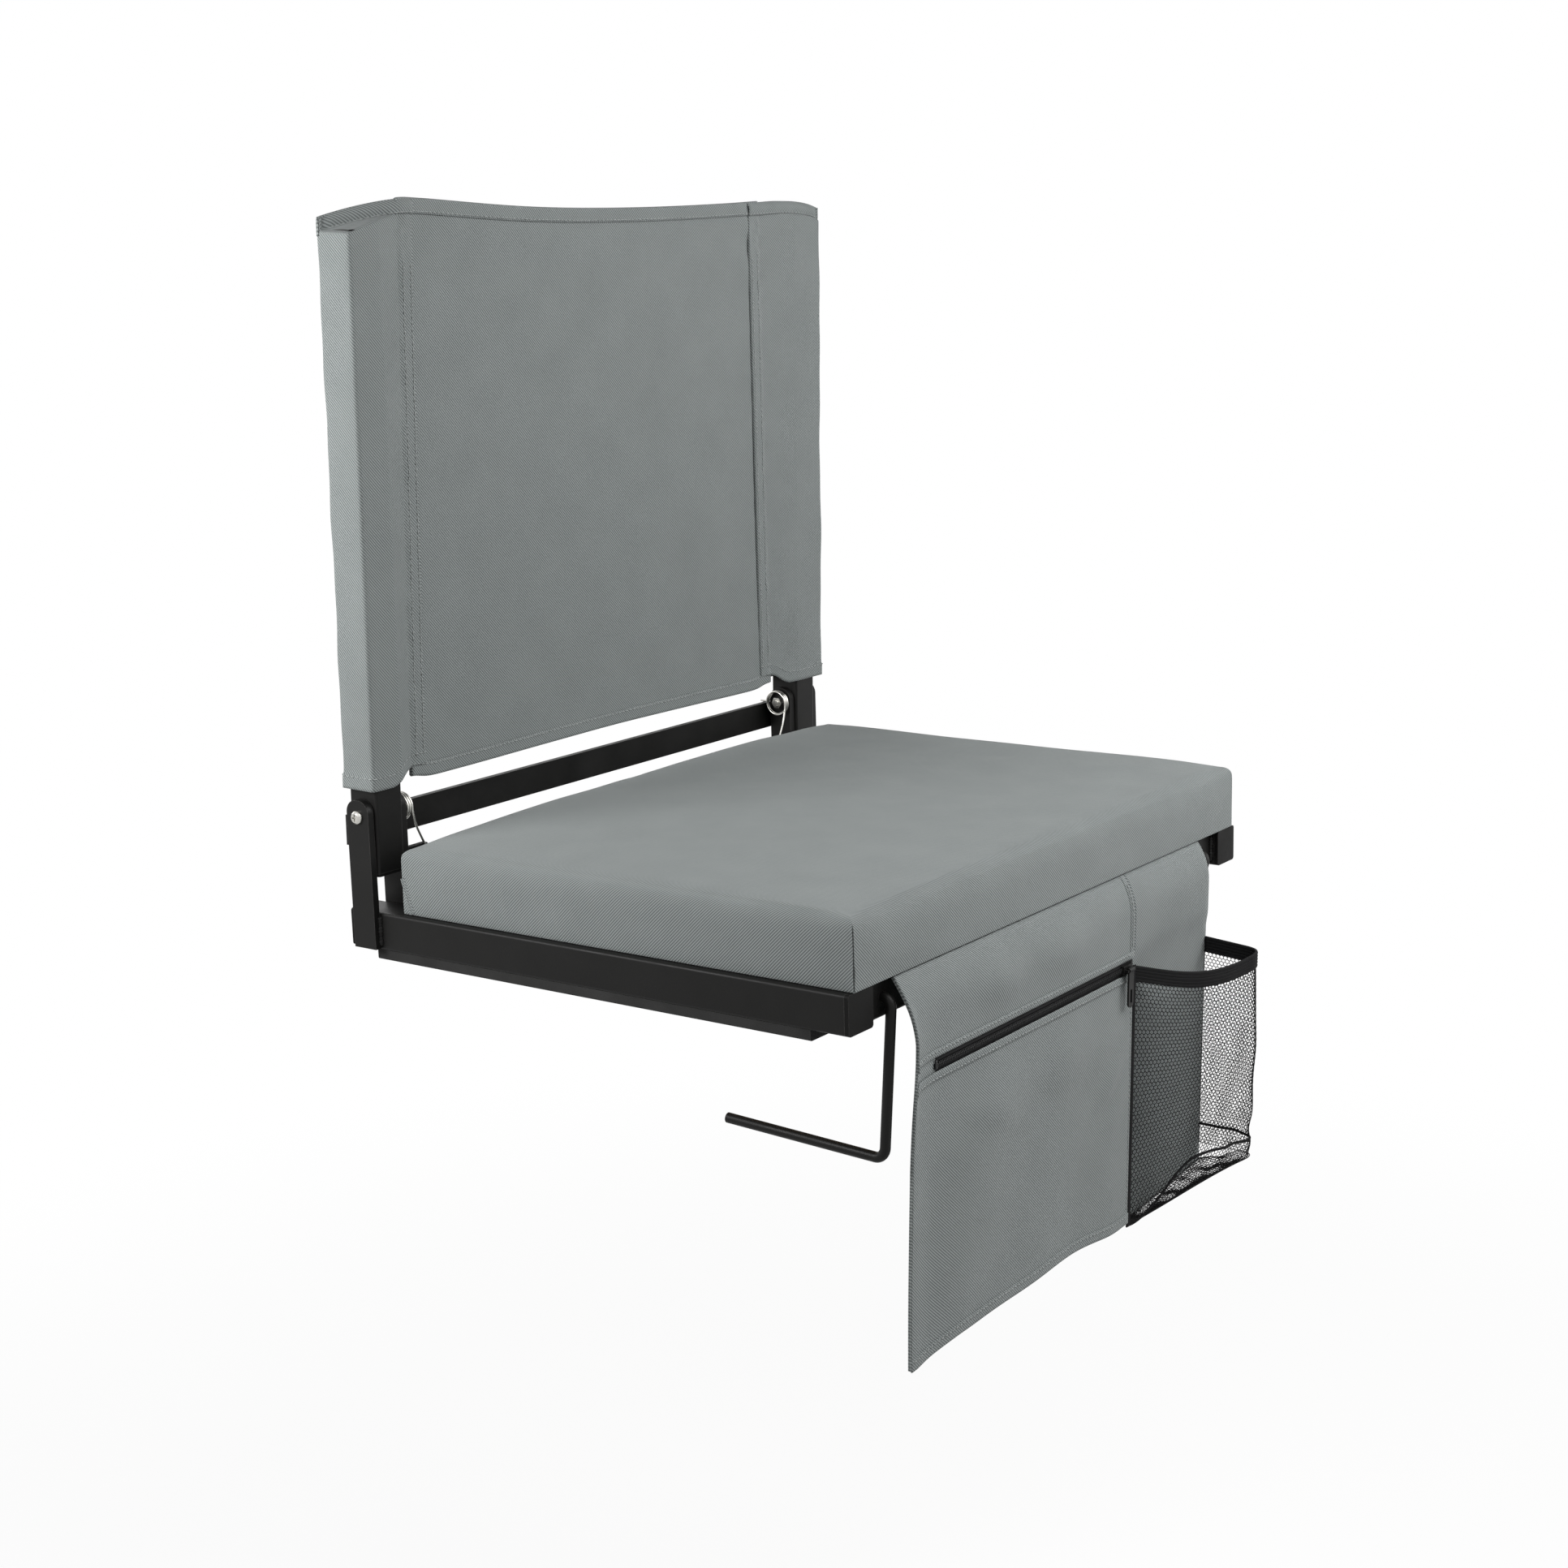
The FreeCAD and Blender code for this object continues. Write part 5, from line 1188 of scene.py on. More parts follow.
def cushion_cover():
    """The sewn cover over its foam, open below where it is turned under the board."""
    low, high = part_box("seat_cover")
    low = low + Vector((0, 0, 0.2 * MM))
    points, faces, weave, held = cushion_start(np.array(low) / MM, np.array(high) / MM)
    piece = new_piece("seat_cushion", points * MM, faces, None, FINISHES["grey_twill"](),
                      "seat_body")
    layer = piece.data.uv_layers.new(name=WEAVE)
    layer.data.foreach_set("uv", np.concatenate([np.asarray(corner) for corner in weave]).ravel() * MM)
    blow_up(piece, held, SWELL_CAP * MM)
    open_foot(piece, len(faces[-1]))
    finer = piece.modifiers.new("finer", "SUBSURF")
    finer.levels = 1
    finer.render_levels = 1
    settle(piece)
    co = np.array([vertex.co for vertex in piece.data.vertices])
    free = smooth(low.z + 2 * MM, low.z + 14 * MM, co[:, 2:])
    x, y, z = co.T
    waves = np.stack([ripple(y, z, 0.09, 1.0), ripple(x, z, 0.1, 2.0), ripple(x, y, 0.12, 3.0)], axis=1)
    co += CUSHION_WAVE * MM * free * waves
    crease_corners(co, low, high)
    piece.data.vertices.foreach_set("co", co.astype(np.float32).ravel())
    thicken(piece, bpy.context.scene.chair_cloth.thick)
    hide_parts("seat_cover", "seat_foam")
    return piece


def seam_lips(name, cushion, route):
    """Two folded edges that meet along a seam, laid on the cushion."""
    tree = BVHTree.FromPolygons([vertex.co for vertex in cushion.data.vertices],
                                [face.vertices for face in cushion.data.polygons])
    line = along(np.array(route), spread(0, lengths(np.array(route))[-1], 1.5 * MM))
    hits = [tree.find_nearest(Vector(point)) for point in line]
    spots = np.array([hit[0] for hit in hits])
    tops = np.array([hit[1] for hit in hits])
    heads = unit(np.gradient(spots, axis=0))
    across = unit(np.cross(heads, tops))
    shape = ((-2.4, -0.25), (-1.6, 0.3), (-0.8, 0.55), (-0.3, 0.35), (0, -0.5),
             (0.3, 0.35), (0.8, 0.55), (1.6, 0.3), (2.4, -0.25))
    grid = np.stack([spots + across * side * MM + tops * rise * MM for side, rise in shape], axis=1)
    uvs = np.zeros((*grid.shape[:2], 2))
    uvs[..., 0] = np.array([side for side, rise in shape]) * MM
    uvs[..., 1] = lengths(spots)[:, None]
    faces = grid_faces(*grid.shape[:2])
    return new_piece(name, grid.reshape(-1, 3), faces, uvs.reshape(-1, 2), FINISHES["grey_twill"](),
                     "seat_body")


class CHAIR_OT_sew_cushion(bpy.types.Operator):
    """Sew the seat cushion and its corner seams"""
    bl_idname = "chair.sew_cushion"
    bl_label = "Sew cushion"

    def execute(self, context):
        cushion = cushion_cover()
        low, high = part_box("seat_cover")
        for side, sign in SIDES:
            x = sign * high.x
            route = [(x, high.y - 8 * MM, low.z + 1 * MM), (x, high.y - 0.5 * MM, low.z + 24 * MM)]
            seam_lips(f"cushion_rear_seam_{side}", cushion, route)
        return {"FINISHED"}


# Back

def seam_x(sign, share):
    """Half width of the back panel at a share of its height."""
    return SEAM_FOOT[sign] + (SEAM_TOP[sign] - SEAM_FOOT[sign]) * share


def back_top(x):
    """Height of the back's top edge: sagging between the seams and falling over the sleeves."""
    side = np.abs(x)
    sag = PANEL_SAG * np.clip(1 - (side / SEAM_TOP[-1]) ** 2, 0, 1)
    peak = LEFT_PEAK * bump(x, -SEAM_TOP[-1], 100)
    far = np.clip((side - FALL_START) / FALL_WIDE, 0, 2)
    fall = np.where(x < 0, SLEEVE_FALL[-1] * far ** FALL_BEND[-1], SLEEVE_FALL[1] * far ** FALL_BEND[1])
    return SLEEVE_TOP - sag + peak - fall


def sleeve_section(sign, seam):
    """A sleeve's section from the raised seam on the front, round the upright and back along the rear."""
    ridge = PANEL_Y - WELT_HIGH
    return rounded_path(
        [(seam - SEAM_LAP, PANEL_Y - 0.6), (seam - SEAM_LAP + 0.5, ridge), (seam - 0.6, ridge),
         (seam + 2.4, PANEL_Y - 1.4), (TUBE_X, -SLEEVE_FRONT), (SLEEVE_OUT[sign], -SLEEVE_FRONT),
         (SLEEVE_OUT[sign], SLEEVE_DEEP), (TUBE_X, SLEEVE_DEEP), (seam + 2, PANEL_Y + 1.2),
         (seam - SEAM_LAP, PANEL_Y + 1.2)],
        [0.7, 1.4, 4, 10, 3, 3, 10, 14])


def closed_line(sign, x, seam):
    """Where the sleeve lies when it is closed flat at its top: from the seam to the outer edge."""
    return PANEL_Y + (CLOSED_OUT[sign] - PANEL_Y) * np.clip((x - seam) / (SLEEVE_OUT[sign] - seam), 0, 1)


def sleeve_grid(sign, shares):
    """Points of a sleeve in the back's axes: a box round the upright that closes flat at the top."""
    rows = []
    for share in shares:
        seam = seam_x(sign, share)
        section = sleeve_section(sign, seam)
        x, y = section.T
        low = SLEEVE_LOW + SLEEVE_NOTCH * smooth(24, 2, x - seam)
        top = back_top(sign * x)
        z = low + share * (top - low)
        below = top - z
        slack = 0.5 * ripple(lengths(section), z, 90, 1.5 + sign) * smooth(0, 25, x - seam)
        hem = 0.6 * smooth(HEM_DEEP + 2, HEM_DEEP - 1, z - low)
        pucker = 0.7 * ripple(z, x, 13, 0.6 + sign) * smooth(14, 0, np.abs(x - seam)) * (y < 0)
        middle = PANEL_Y * np.clip((TUBE_X - x) / (TUBE_X - seam - 2), 0, 1)
        y = middle + (y - middle) * (1 + (slack + hem) / SLEEVE_DEEP) - pucker
        front = np.arange(len(x)) < np.argmax(x + y)
        flat = closed_line(sign, x, seam) + np.where(front, -0.8, 0.8)
        shut = smooth(ROOF_LOW, ROOF_HIGH, below)
        y = y + (flat - y) * shut
        x = x + (slack + hem) * smooth(TUBE_X, SLEEVE_OUT[sign], x) * (1 - shut)
        rows.append(np.stack([sign * x, y, z], axis=1))
    return np.array(rows)


def lid_grid(sign):
    """Points of the strip folded over a sleeve's closed top: up its front, over and down its rear."""
    seam = seam_x(sign, 1)
    out = SLEEVE_OUT[sign]
    x = np.concatenate([spread(seam - SEAM_LAP, out - 3, 3), [out - 1.5, out, out + 0.8]])
    end = smooth(out - 6, out, x)
    top = back_top(sign * x)
    deep = LID_DEEP + 2 * end
    crumple = 0.5 * ripple(x, 0 * x, 21, 1.3 + sign) * smooth(0, 12, x - seam)
    rows = []
    for share in np.linspace(0, 1, 8):
        roll = LID_ROLL * (1 + 0.35 * math.sin(math.pi * share)) * (1 - 0.7 * end) * (1 - 0.75 * share ** 6)
        rows.append(((x, closed_line(sign, x, seam) - roll - crumple, top - deep * (1 - share))))
    for share in np.linspace(1, 0, 8):
        roll = LID_ROLL * (1 - 0.7 * end) * (1 - 0.75 * share ** 6)
        rows.append(((x, closed_line(sign, x, seam) + roll - crumple, top - deep * (1 - share))))
    grid = np.stack([np.stack(row, axis=1) for row in rows])
    grid[..., 0] *= sign
    return grid


def sleeve_uvs(grid, sign):
    """Weave of a sleeve: round it and up it."""
    middle = grid[len(grid) // 2]
    uvs = np.zeros((*grid.shape[:2], 2))
    uvs[..., 0] = sign * lengths(middle) * MM
    uvs[..., 1] = grid[..., 2] * MM
    return uvs


def sew_sleeve(side, sign, axes):
    """One sleeve, the folded strip over its top, and its stitches."""
    parts = ((0, 0.04, 8), (0.05, 0.9, 64), (0.905, 1, LID_ROWS))
    shares = np.concatenate([np.linspace(*part) for part in parts])
    grid = sleeve_grid(sign, shares)
    flip = sign < 0
    sleeve = cloth_piece(f"sleeve_{side}", placed(axes, grid), sleeve_uvs(grid, sign), "back_body", flip)
    roof = lid_grid(sign)
    over = np.broadcast_to(lengths(roof[:, 0])[:, None], roof.shape[:2])
    uvs = np.stack([roof[..., 0], over], axis=-1) * MM
    lid = cloth_piece(f"sleeve_lid_{side}", placed(axes, roof), uvs, "back_body", flip, 0.8 * MM)
    stitches = sleeve_stitches(side, sign, axes, grid, roof)
    around = lengths(grid[len(grid) // 2])[-1] * MM
    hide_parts(f"back_sleeve_{side}")
    return sleeve


def sleeve_stitches(side, sign, axes, grid, lid):
    """Twin rows along the seam on both faces, and single rows round the lower hem and the lid."""
    turn = np.array(axes)[:3, :3]
    normals = grid_normals(grid) * sign
    rows = []
    faces_of_seam = ((False, (3.2, SEAM_LAP - 0.8)), (True, (1.4, SEAM_LAP - 0.6)))
    for reverse, inwards in faces_of_seam:
        for inward in inwards:
            line = []
            faces = []
            for row, facing in zip(grid[3:-LID_ROWS], normals[3:-LID_ROWS]):
                if reverse:
                    row, facing = row[::-1], facing[::-1]
                line.append(along(row, [inward])[0])
                faces.append(facing[np.searchsorted(lengths(row), inward)])
            rows.append((placed(axes, np.array(line) + np.array(faces) * 0.15), np.array(faces) @ turn.T))
    hem_row = np.argmin(np.abs(grid[:, len(grid[0]) // 2, 2] - SLEEVE_LOW - HEM_DEEP))
    rows.append((placed(axes, grid[hem_row] + normals[hem_row] * 0.15), normals[hem_row] @ turn.T))
    lid_normals = grid_normals(lid) * sign
    rows.append((placed(axes, lid[1] + lid_normals[1] * 0.15), lid_normals[1] @ turn.T))
    return stitch_rows(f"sleeve_stitches_{side}", rows, "back_body")


def panel_grid(shares, columns):
    """Points of the back panel: stretched between the seams, puckered along them, sagging at the top."""
    rows = []
    for share in shares:
        left = -seam_x(-1, share) - 2
        right = seam_x(1, share) + 2
        x = left + (right - left) * columns
        low = PANEL_LOW + 2 * bump(x, 0, 120) + 3 * (bump(x, left, 12) + bump(x, right, 12))
        top = back_top(x)
        z = low + share * (top - low)
        nearest = np.minimum(x - left, right - x)
        pucker = 0.6 * np.exp(-nearest / 16) * ripple(z, nearest, 24, 2.2)
        hollow = 2.4 * np.sin(math.pi * columns) ** 0.7 * math.sin(math.pi * share)
        waves = 0.5 * ripple(x, z, 170, 0.7)
        pull = 0.9 * smooth(60, 6, nearest) * smooth(90, 8, top - z) * np.sin((top - z + 0.8 * nearest) / 5.5)
        y = PANEL_Y + hollow + waves * smooth(0, 30, nearest) + pucker + pull * smooth(0, 8, nearest)
        rows.append(np.stack([x, y, z], axis=1))
    return np.array(rows)


def sew_panel(axes):
    """The back panel, the folded hems along its top and foot, and their stitches."""
    turn = np.array(axes)[:3, :3]
    thick = bpy.context.scene.chair_cloth.thick / MM
    parts = ((0, 0.06, 10), (0.07, 0.93, 62), (0.94, 1, 10))
    columns = np.concatenate([np.linspace(*part) for part in parts])
    grid = panel_grid(np.linspace(0, 1, 96), columns)
    uvs = grid[..., [0, 2]] * MM
    panel = cloth_piece("back_sheet", placed(axes, grid + (0, -thick / 2, 0)), uvs, "back_body")
    high = SLEEVE_TOP - PANEL_LOW
    rows = []
    for name, shares, edge in (("top", (1 - HEM_DEEP / high, 1), 1), ("foot", (0, HEM_DEEP / high), 0)):
        strip = panel_grid(np.linspace(*shares, 7), columns)
        front = strip + (0, -thick * 1.45, 0)
        rear = strip + (0, thick * 1.45, 0)
        fold = strip[-1 if edge else 0] + (0, 0, 0.9 if edge else -0.9)
        layers = [front, fold[None], rear[::-1]] if edge else [rear[::-1], fold[None], front]
        folded = np.concatenate(layers)
        uv = np.zeros((*folded.shape[:2], 2))
        uv[..., 0] = folded[..., 0] * MM
        uv[..., 1] = lengths(folded[:, folded.shape[1] // 2])[:, None] * MM
        cloth_piece(f"back_{name}_hem", placed(axes, folded), uv, "back_body", thick=0.7 * MM)
        inner = 1 if edge else -2
        for face, facing in ((front, -1), (rear, 1)):
            line = face[inner] + np.array((0, 0.2 * facing, 0))
            normals = np.tile(turn @ np.array((0, facing, 0)), (len(line), 1))
            rows.append((placed(axes, line), normals))
    stitch_rows("back_hem_stitches", rows, "back_body")
    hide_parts("back_panel")


class CHAIR_OT_sew_back(bpy.types.Operator):
    """Sew the back's two sleeves and the panel stretched between them"""
    bl_idname = "chair.sew_back"
    bl_label = "Sew back"

    def execute(self, context):
        axes = back_axes()
        sleeves = [sew_sleeve(side, sign, axes) for side, sign in SIDES]
        sew_panel(axes)
        return {"FINISHED"}


# Front flap

ARC_LENGTH = FLAP_BULGE * FLAP_TURN
ARC_DROP = FLAP_GAP + (FLAP_BULGE + 0.6) * math.sin(FLAP_TURN)
CLOTH_LENGTH = ARC_LENGTH + FLAP_DROP - ARC_DROP
TUCK_TURN = math.asin((ARC_DROP - 0.4) / (FLAP_BULGE + 1.6))
TUCK = (TUCK_TURN - FLAP_TURN) * FLAP_BULGE


def cloth_place(drop):
    """Distance down the cloth of a straight-hanging place, given its drop below the rails' top."""
    return drop - ARC_DROP + ARC_LENGTH


ABOVE_ZIP = cloth_place(ZIP_DROP - ZIP_HALF)
BELOW_ZIP = cloth_place(ZIP_DROP + ZIP_HALF)


def flap_billow(x, down):
    """How far the cloth stands out: a curled left edge, two swells and a furrow, pulls at the seam."""
    loose = smooth(FLAP_SEAM + 4, FLAP_SEAM - 40, x)
    hang = smooth(BELOW_ZIP + 6, BELOW_ZIP + 60, down)
    lip = 4.5 * bump(x, FLAP_LEFT, 5) * smooth(120, 40, down)
    curl = (4.0 * bump(x, FLAP_LEFT, 17) + lip) * smooth(0, 40, down)
    level = bump(down, 0.5 * ABOVE_ZIP, 13) + bump(down, BELOW_ZIP + 36, 20)
    swells = 3.6 * level * (bump(x, -92, 26) + bump(x, -14, 30))
    folds = hang * (1.5 + 1.5 * np.sin((x - 42) / 34) + 0.8 * np.sin((x + 0.3 * down) / 17))
    pulls = 1.1 * (1 + np.sin((0.8 * x + down) / 5.2)) * bump(x, 52, 20) * bump(down, BELOW_ZIP + 70, 34)
    creases = 0.5 * (1 + np.sin((down - 0.5 * x) / 6)) * bump(x, -100, 50) * bump(down, BELOW_ZIP + 45, 22)
    return curl + loose * (swells + folds + pulls + creases)


def flap_lift(x):
    """How far the foot's hem rises: a little in the middle and the corner, and steadily behind the net."""
    behind = np.clip((x - FLAP_SEAM) / (FLAP_RIGHT - FLAP_SEAM), 0, 1)
    return 2 + 4 * smooth(FLAP_LEFT, FLAP_LEFT + 60, x) * smooth(FLAP_SEAM, 0, x) + 10 * behind


def flap_grid(x, down, out):
    """Points of the flap: x across, down the cloth, and out in front of the flap's middle surface."""
    x, down = np.meshgrid(x, down)
    turned = np.clip(FLAP_TURN - down / FLAP_BULGE, 0, TUCK_TURN)
    straight = np.maximum(down - ARC_LENGTH, 0)
    reach = FLAP_BULGE + out
    y = FLAP_BULGE - FLAP_FORWARD - reach * np.cos(turned) - flap_billow(x, down)
    share = smooth(0.35, 1, down / CLOTH_LENGTH)
    z = -ARC_DROP + reach * np.sin(turned) - straight + flap_lift(x) * share
    return np.stack([x, y, z], axis=-1)


def flap_sheet(name, x, down, out, axes, thick=None, finish="grey_twill"):
    """A layer of the flap between places across and down it."""
    grid = flap_grid(x, down, out)
    uvs = np.stack(np.meshgrid(x, -down), axis=-1) * MM
    return cloth_piece(name, placed(axes, grid), uvs, "flap_body", True, thick, finish)


def flap_line(x, down, out, axes):
    """A row for stitches along matching places across and down the flap."""
    count = max(len(np.atleast_1d(x)), len(np.atleast_1d(down)))
    xs = np.broadcast_to(x, count)
    downs = np.broadcast_to(down, count)
    line = np.array([flap_grid([a], [b], out)[0, 0] for a, b in zip(xs, downs)])
    turned = np.clip(FLAP_TURN - downs / FLAP_BULGE, 0, TUCK_TURN)
    normals = np.stack([np.zeros(count), -np.cos(turned), np.sin(turned)], axis=1)
    return placed(axes, line), normals @ np.array(axes)[:3, :3].T


def hang_layers(axes):
    """The flap's back layer, the layer above the zip and the pocket's front below it."""
    edge = FLAP_LEFT + np.arange(0, 12, 1.5)
    left = np.concatenate([edge, spread(edge[-1] + 3, FLAP_SEAM, 4.5)])
    beside = FLAP_SEAM + np.array((0.7, 1.4, 2.2, 3))
    whole = np.concatenate([left, beside, spread(FLAP_SEAM + 6, FLAP_RIGHT, 4.5)])
    down = spread(-TUCK, CLOTH_LENGTH, 4)
    right = smooth(FLAP_SEAM + 0.7, FLAP_SEAM + 2.2, whole)
    raised = smooth(ABOVE_ZIP + 4, ABOVE_ZIP - 8, down)[:, None] * right
    back = flap_sheet("flap_back", whole, down, 0.5 + 1.3 * raised, axes)
    upper = flap_sheet("flap_upper", left, spread(-TUCK, ABOVE_ZIP, 4), 1.6, axes)
    front = flap_sheet("zip_pocket_front", left, spread(BELOW_ZIP, CLOTH_LENGTH, 4), 1.7, axes)
    slit = spread(ABOVE_ZIP - 2, BELOW_ZIP + 2, 3)
    end = flap_sheet("zip_end_patch", left[left < ZIP_LEFT], slit, 1.1, axes)
    return back, upper, front, end


def flap_hems(axes):
    """Folded hems: along the foot, along both lips of the zip and down the seam."""
    across = np.concatenate([FLAP_LEFT + np.arange(0, 12, 1.5), spread(FLAP_LEFT + 13.5, FLAP_SEAM, 4.5)])
    fold = 0.7 * MM
    at_foot = spread(CLOTH_LENGTH - 7, CLOTH_LENGTH + 0.6, 2)
    above = spread(ABOVE_ZIP - 4.5, ABOVE_ZIP + 0.4, 1.5)
    below = spread(BELOW_ZIP - 0.4, BELOW_ZIP + 5, 1.5)
    beside = spread(FLAP_SEAM - 5, FLAP_SEAM, 1.25)
    foot = flap_sheet("flap_foot_hem", across, at_foot, 2.2, axes, fold)
    upper = flap_sheet("zip_upper_lip", across, above, 2.2, axes, fold)
    lower = flap_sheet("zip_lower_lip", across, below, 2.3, axes, fold)
    seam = flap_sheet("flap_seam_fold", beside, spread(-TUCK, ABOVE_ZIP, 4), 1.9, axes, 0.4 * MM)
    return foot, upper, lower, seam


def flap_stitches(axes):
    """Rows of thread along the flap's hems, its seam and the zip."""
    across = spread(FLAP_LEFT + 2, FLAP_SEAM - 2, 2)
    over = spread(4, ABOVE_ZIP - 5, 2)
    under = spread(BELOW_ZIP + 6, CLOTH_LENGTH - 7, 2)
    rows = [
        flap_line(across, CLOTH_LENGTH - 5.5, 2.4, axes),
        flap_line(across, ABOVE_ZIP - 3.2, 2.4, axes),
        flap_line(across, BELOW_ZIP + 3.4, 2.5, axes),
        flap_line(FLAP_SEAM - 2.5, over, 2.3, axes),
        flap_line(FLAP_SEAM - 2.5, under, 1.9, axes),
        flap_line(ZIP_LEFT - 2.5, spread(ABOVE_ZIP + 1, BELOW_ZIP - 1, 2), 1.3, axes),
    ]
    return stitch_rows("flap_stitches", rows, "flap_body")


def hem_strip():
    """The hem sewn under the cushion's front edge: a strip folded twice behind the flap's top."""
    low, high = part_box("flap_hem")
    front = low.y + 1.6 * MM
    middle = (low.z + high.z) / 2
    upper, lower = middle + 0.45 * MM, middle - 0.45 * MM
    x = spread(low.x, high.x, 5 * MM)
    rear = high.y
    shape = ((rear, upper), (front, upper), (front, middle), (rear, middle), (rear, lower), (front, lower))
    wave = 0.07 * MM * np.sin(x / (9 * MM))
    rows = np.array([[(a, y + shift, z) for a, shift in zip(x, wave)] for y, z in shape])
    wide = lengths(np.array(shape))
    uvs = np.zeros((*rows.shape[:2], 2))
    uvs[..., 0] = x
    uvs[..., 1] = wide[:, None]
    piece = new_piece("flap_hem_strip", rows.reshape(-1, 3), grid_faces(*rows.shape[:2]), uvs.reshape(-1, 2),
                      FINISHES["grey_twill"](), "seat_body")
    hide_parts("flap_hem")


class CHAIR_OT_hang_flap(bpy.types.Operator):
    """Hang the front flap with its pocket front, hems and stitches"""
    bl_idname = "chair.hang_flap"
    bl_label = "Hang flap"

    def execute(self, context):
        axes = flap_axes()
        hem_strip()
        back, upper, front, end = hang_layers(axes)
        foot, upper_lip, lower_lip, seam = flap_hems(axes)
        stitches = flap_stitches(axes)
        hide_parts("flap_panel")
        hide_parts("zip_pocket_panel")
        return {"FINISHED"}


# Zip

def zip_tooth(length, height, depth):
    """Points and faces of one tooth: a bar with a swollen head."""
    half = ((0, -0.28), (0.55, -0.3), (0.8, -0.5), (1, -0.32))
    outline = half + tuple((side, -along_it) for side, along_it in reversed(half))
    points = []
    for level, size in ((0, 0.9), (0.6, 1), (1, 0.72)):
        points += [(side * size * height, along_it * length, level * depth) for side, along_it in outline]
    count = len(outline)
    faces = [tuple(range(count))[::-1], tuple(2 * count + corner for corner in range(count))]
    for level in range(2):
        for corner in range(count):
            following = (corner + 1) % count
            faces.append((level * count + corner, level * count + following,
                          (level + 1) * count + following, (level + 1) * count + corner))
    return np.array(points), faces


def zip_chain(axes):
    """Two rows of teeth that mesh along the middle of the zip."""
    pitch = 1.7
    tooth, cell = zip_tooth(pitch, 2.1, 1.3)
    points = []
    faces = []
    face_out = FLAP_FORWARD + 0.6 + 0.8
    for number, x in enumerate(np.arange(ZIP_LEFT + 1, ZIP_RIGHT - 1, pitch / 2)):
        side = 1 if number % 2 else -1
        first = len(points)
        for across, along_it, deep in tooth:
            height = -ZIP_DROP + side * (1.6 - across)
            points.append((x + along_it * 0.55, -face_out - deep, height))
        flipped = side < 0
        faces += [[first + corner for corner in (face[::-1] if flipped else face)] for face in cell]
    piece = new_piece("zip_chain", placed(axes, points), faces, None, FINISHES["zip_plastic"](),
                      "flap_body")
    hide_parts("zip_teeth")
    return piece


def zip_tapes(axes):
    """The zip's two tapes with a corded edge beside the teeth."""
    shape = ((-ZIP_HALF - 1.5, 0.5), (-3.0, 0.55), (-2.2, 0.95), (-1.5, 0.95), (-0.9, 0.5), (0, 0.4),
             (0.9, 0.5), (1.5, 0.95), (2.2, 0.95), (3.0, 0.55), (ZIP_HALF + 1.5, 0.5))
    x = spread(ZIP_LEFT - 2, ZIP_RIGHT + 1.5, 4)
    grid = np.array([[(a, -FLAP_FORWARD - 0.6 - out, -ZIP_DROP + up) for a in x] for up, out in shape])
    uvs = np.stack(np.meshgrid(x, [up for up, out in shape]), axis=-1) * MM
    piece = cloth_piece("zip_tapes", placed(axes, grid), uvs, "flap_body", thick=0.5 * MM,
                        finish="black_tape")
    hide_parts("zip_tape")
    return piece


def rounded_block(low, high, rounding, step):
    """Points and faces of a block with rounded edges, evenly divided."""
    half = (high - low) / 2
    middle = (high + low) / 2
    counts = [max(2, int(round(2 * side / step))) for side in half]
    points = {}
    faces = []

    def corner(key):
        if key not in points:
            points[key] = len(points)
        return points[key]

    for axis in range(3):
        first, second = [other for other in range(3) if other != axis]
        for end in (0, counts[axis]):
            for i in range(counts[first]):
                for j in range(counts[second]):
                    quad = []
                    for di, dj in ((0, 0), (1, 0), (1, 1), (0, 1)):
                        key = [0, 0, 0]
                        key[axis] = end
                        key[first] = i + di
                        key[second] = j + dj
                        quad.append(corner(tuple(key)))
                    outward = (end > 0) != (axis == 1)
                    faces.append(quad if outward else quad[::-1])
    share = np.array(list(points), float) / np.array(counts) * 2 - 1
    flat = share * half
    inner = np.clip(flat, -(half - rounding), half - rounding)
    away = flat - inner
    far = np.linalg.norm(away, axis=1, keepdims=True)
    reach = np.max(np.abs(away), axis=1, keepdims=True)
    eased = inner + np.where(far > 0, away / np.maximum(far, 1e-9) * reach, 0)
    return eased + middle, faces, share


def zip_end(name, node):
    """A moulded stop at one end of the chain: a small block with rounded edges."""
    low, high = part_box(node)
    points, faces, share = rounded_block(np.array(low), np.array(high), 0.5 * MM, 0.6 * MM)
    piece = new_piece(name, points, faces, None, FINISHES["zip_plastic"](), "flap_body")
    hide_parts(node)


class CHAIR_OT_fit_zip(bpy.types.Operator):
    """Fit the zip: tapes, teeth and end stops"""
    bl_idname = "chair.fit_zip"
    bl_label = "Fit zip"

    def execute(self, context):
        axes = flap_axes()
        zip_tapes(axes)
        zip_chain(axes)
        for side in ("left", "right"):
            zip_end(f"zip_end_{side}", f"zip_stop_{side}")
        return {"FINISHED"}


# Net pocket

NET_FACE = -FLAP_FORWARD - 0.9
FRONT_POINTS = 50
BEND_POINTS = 8


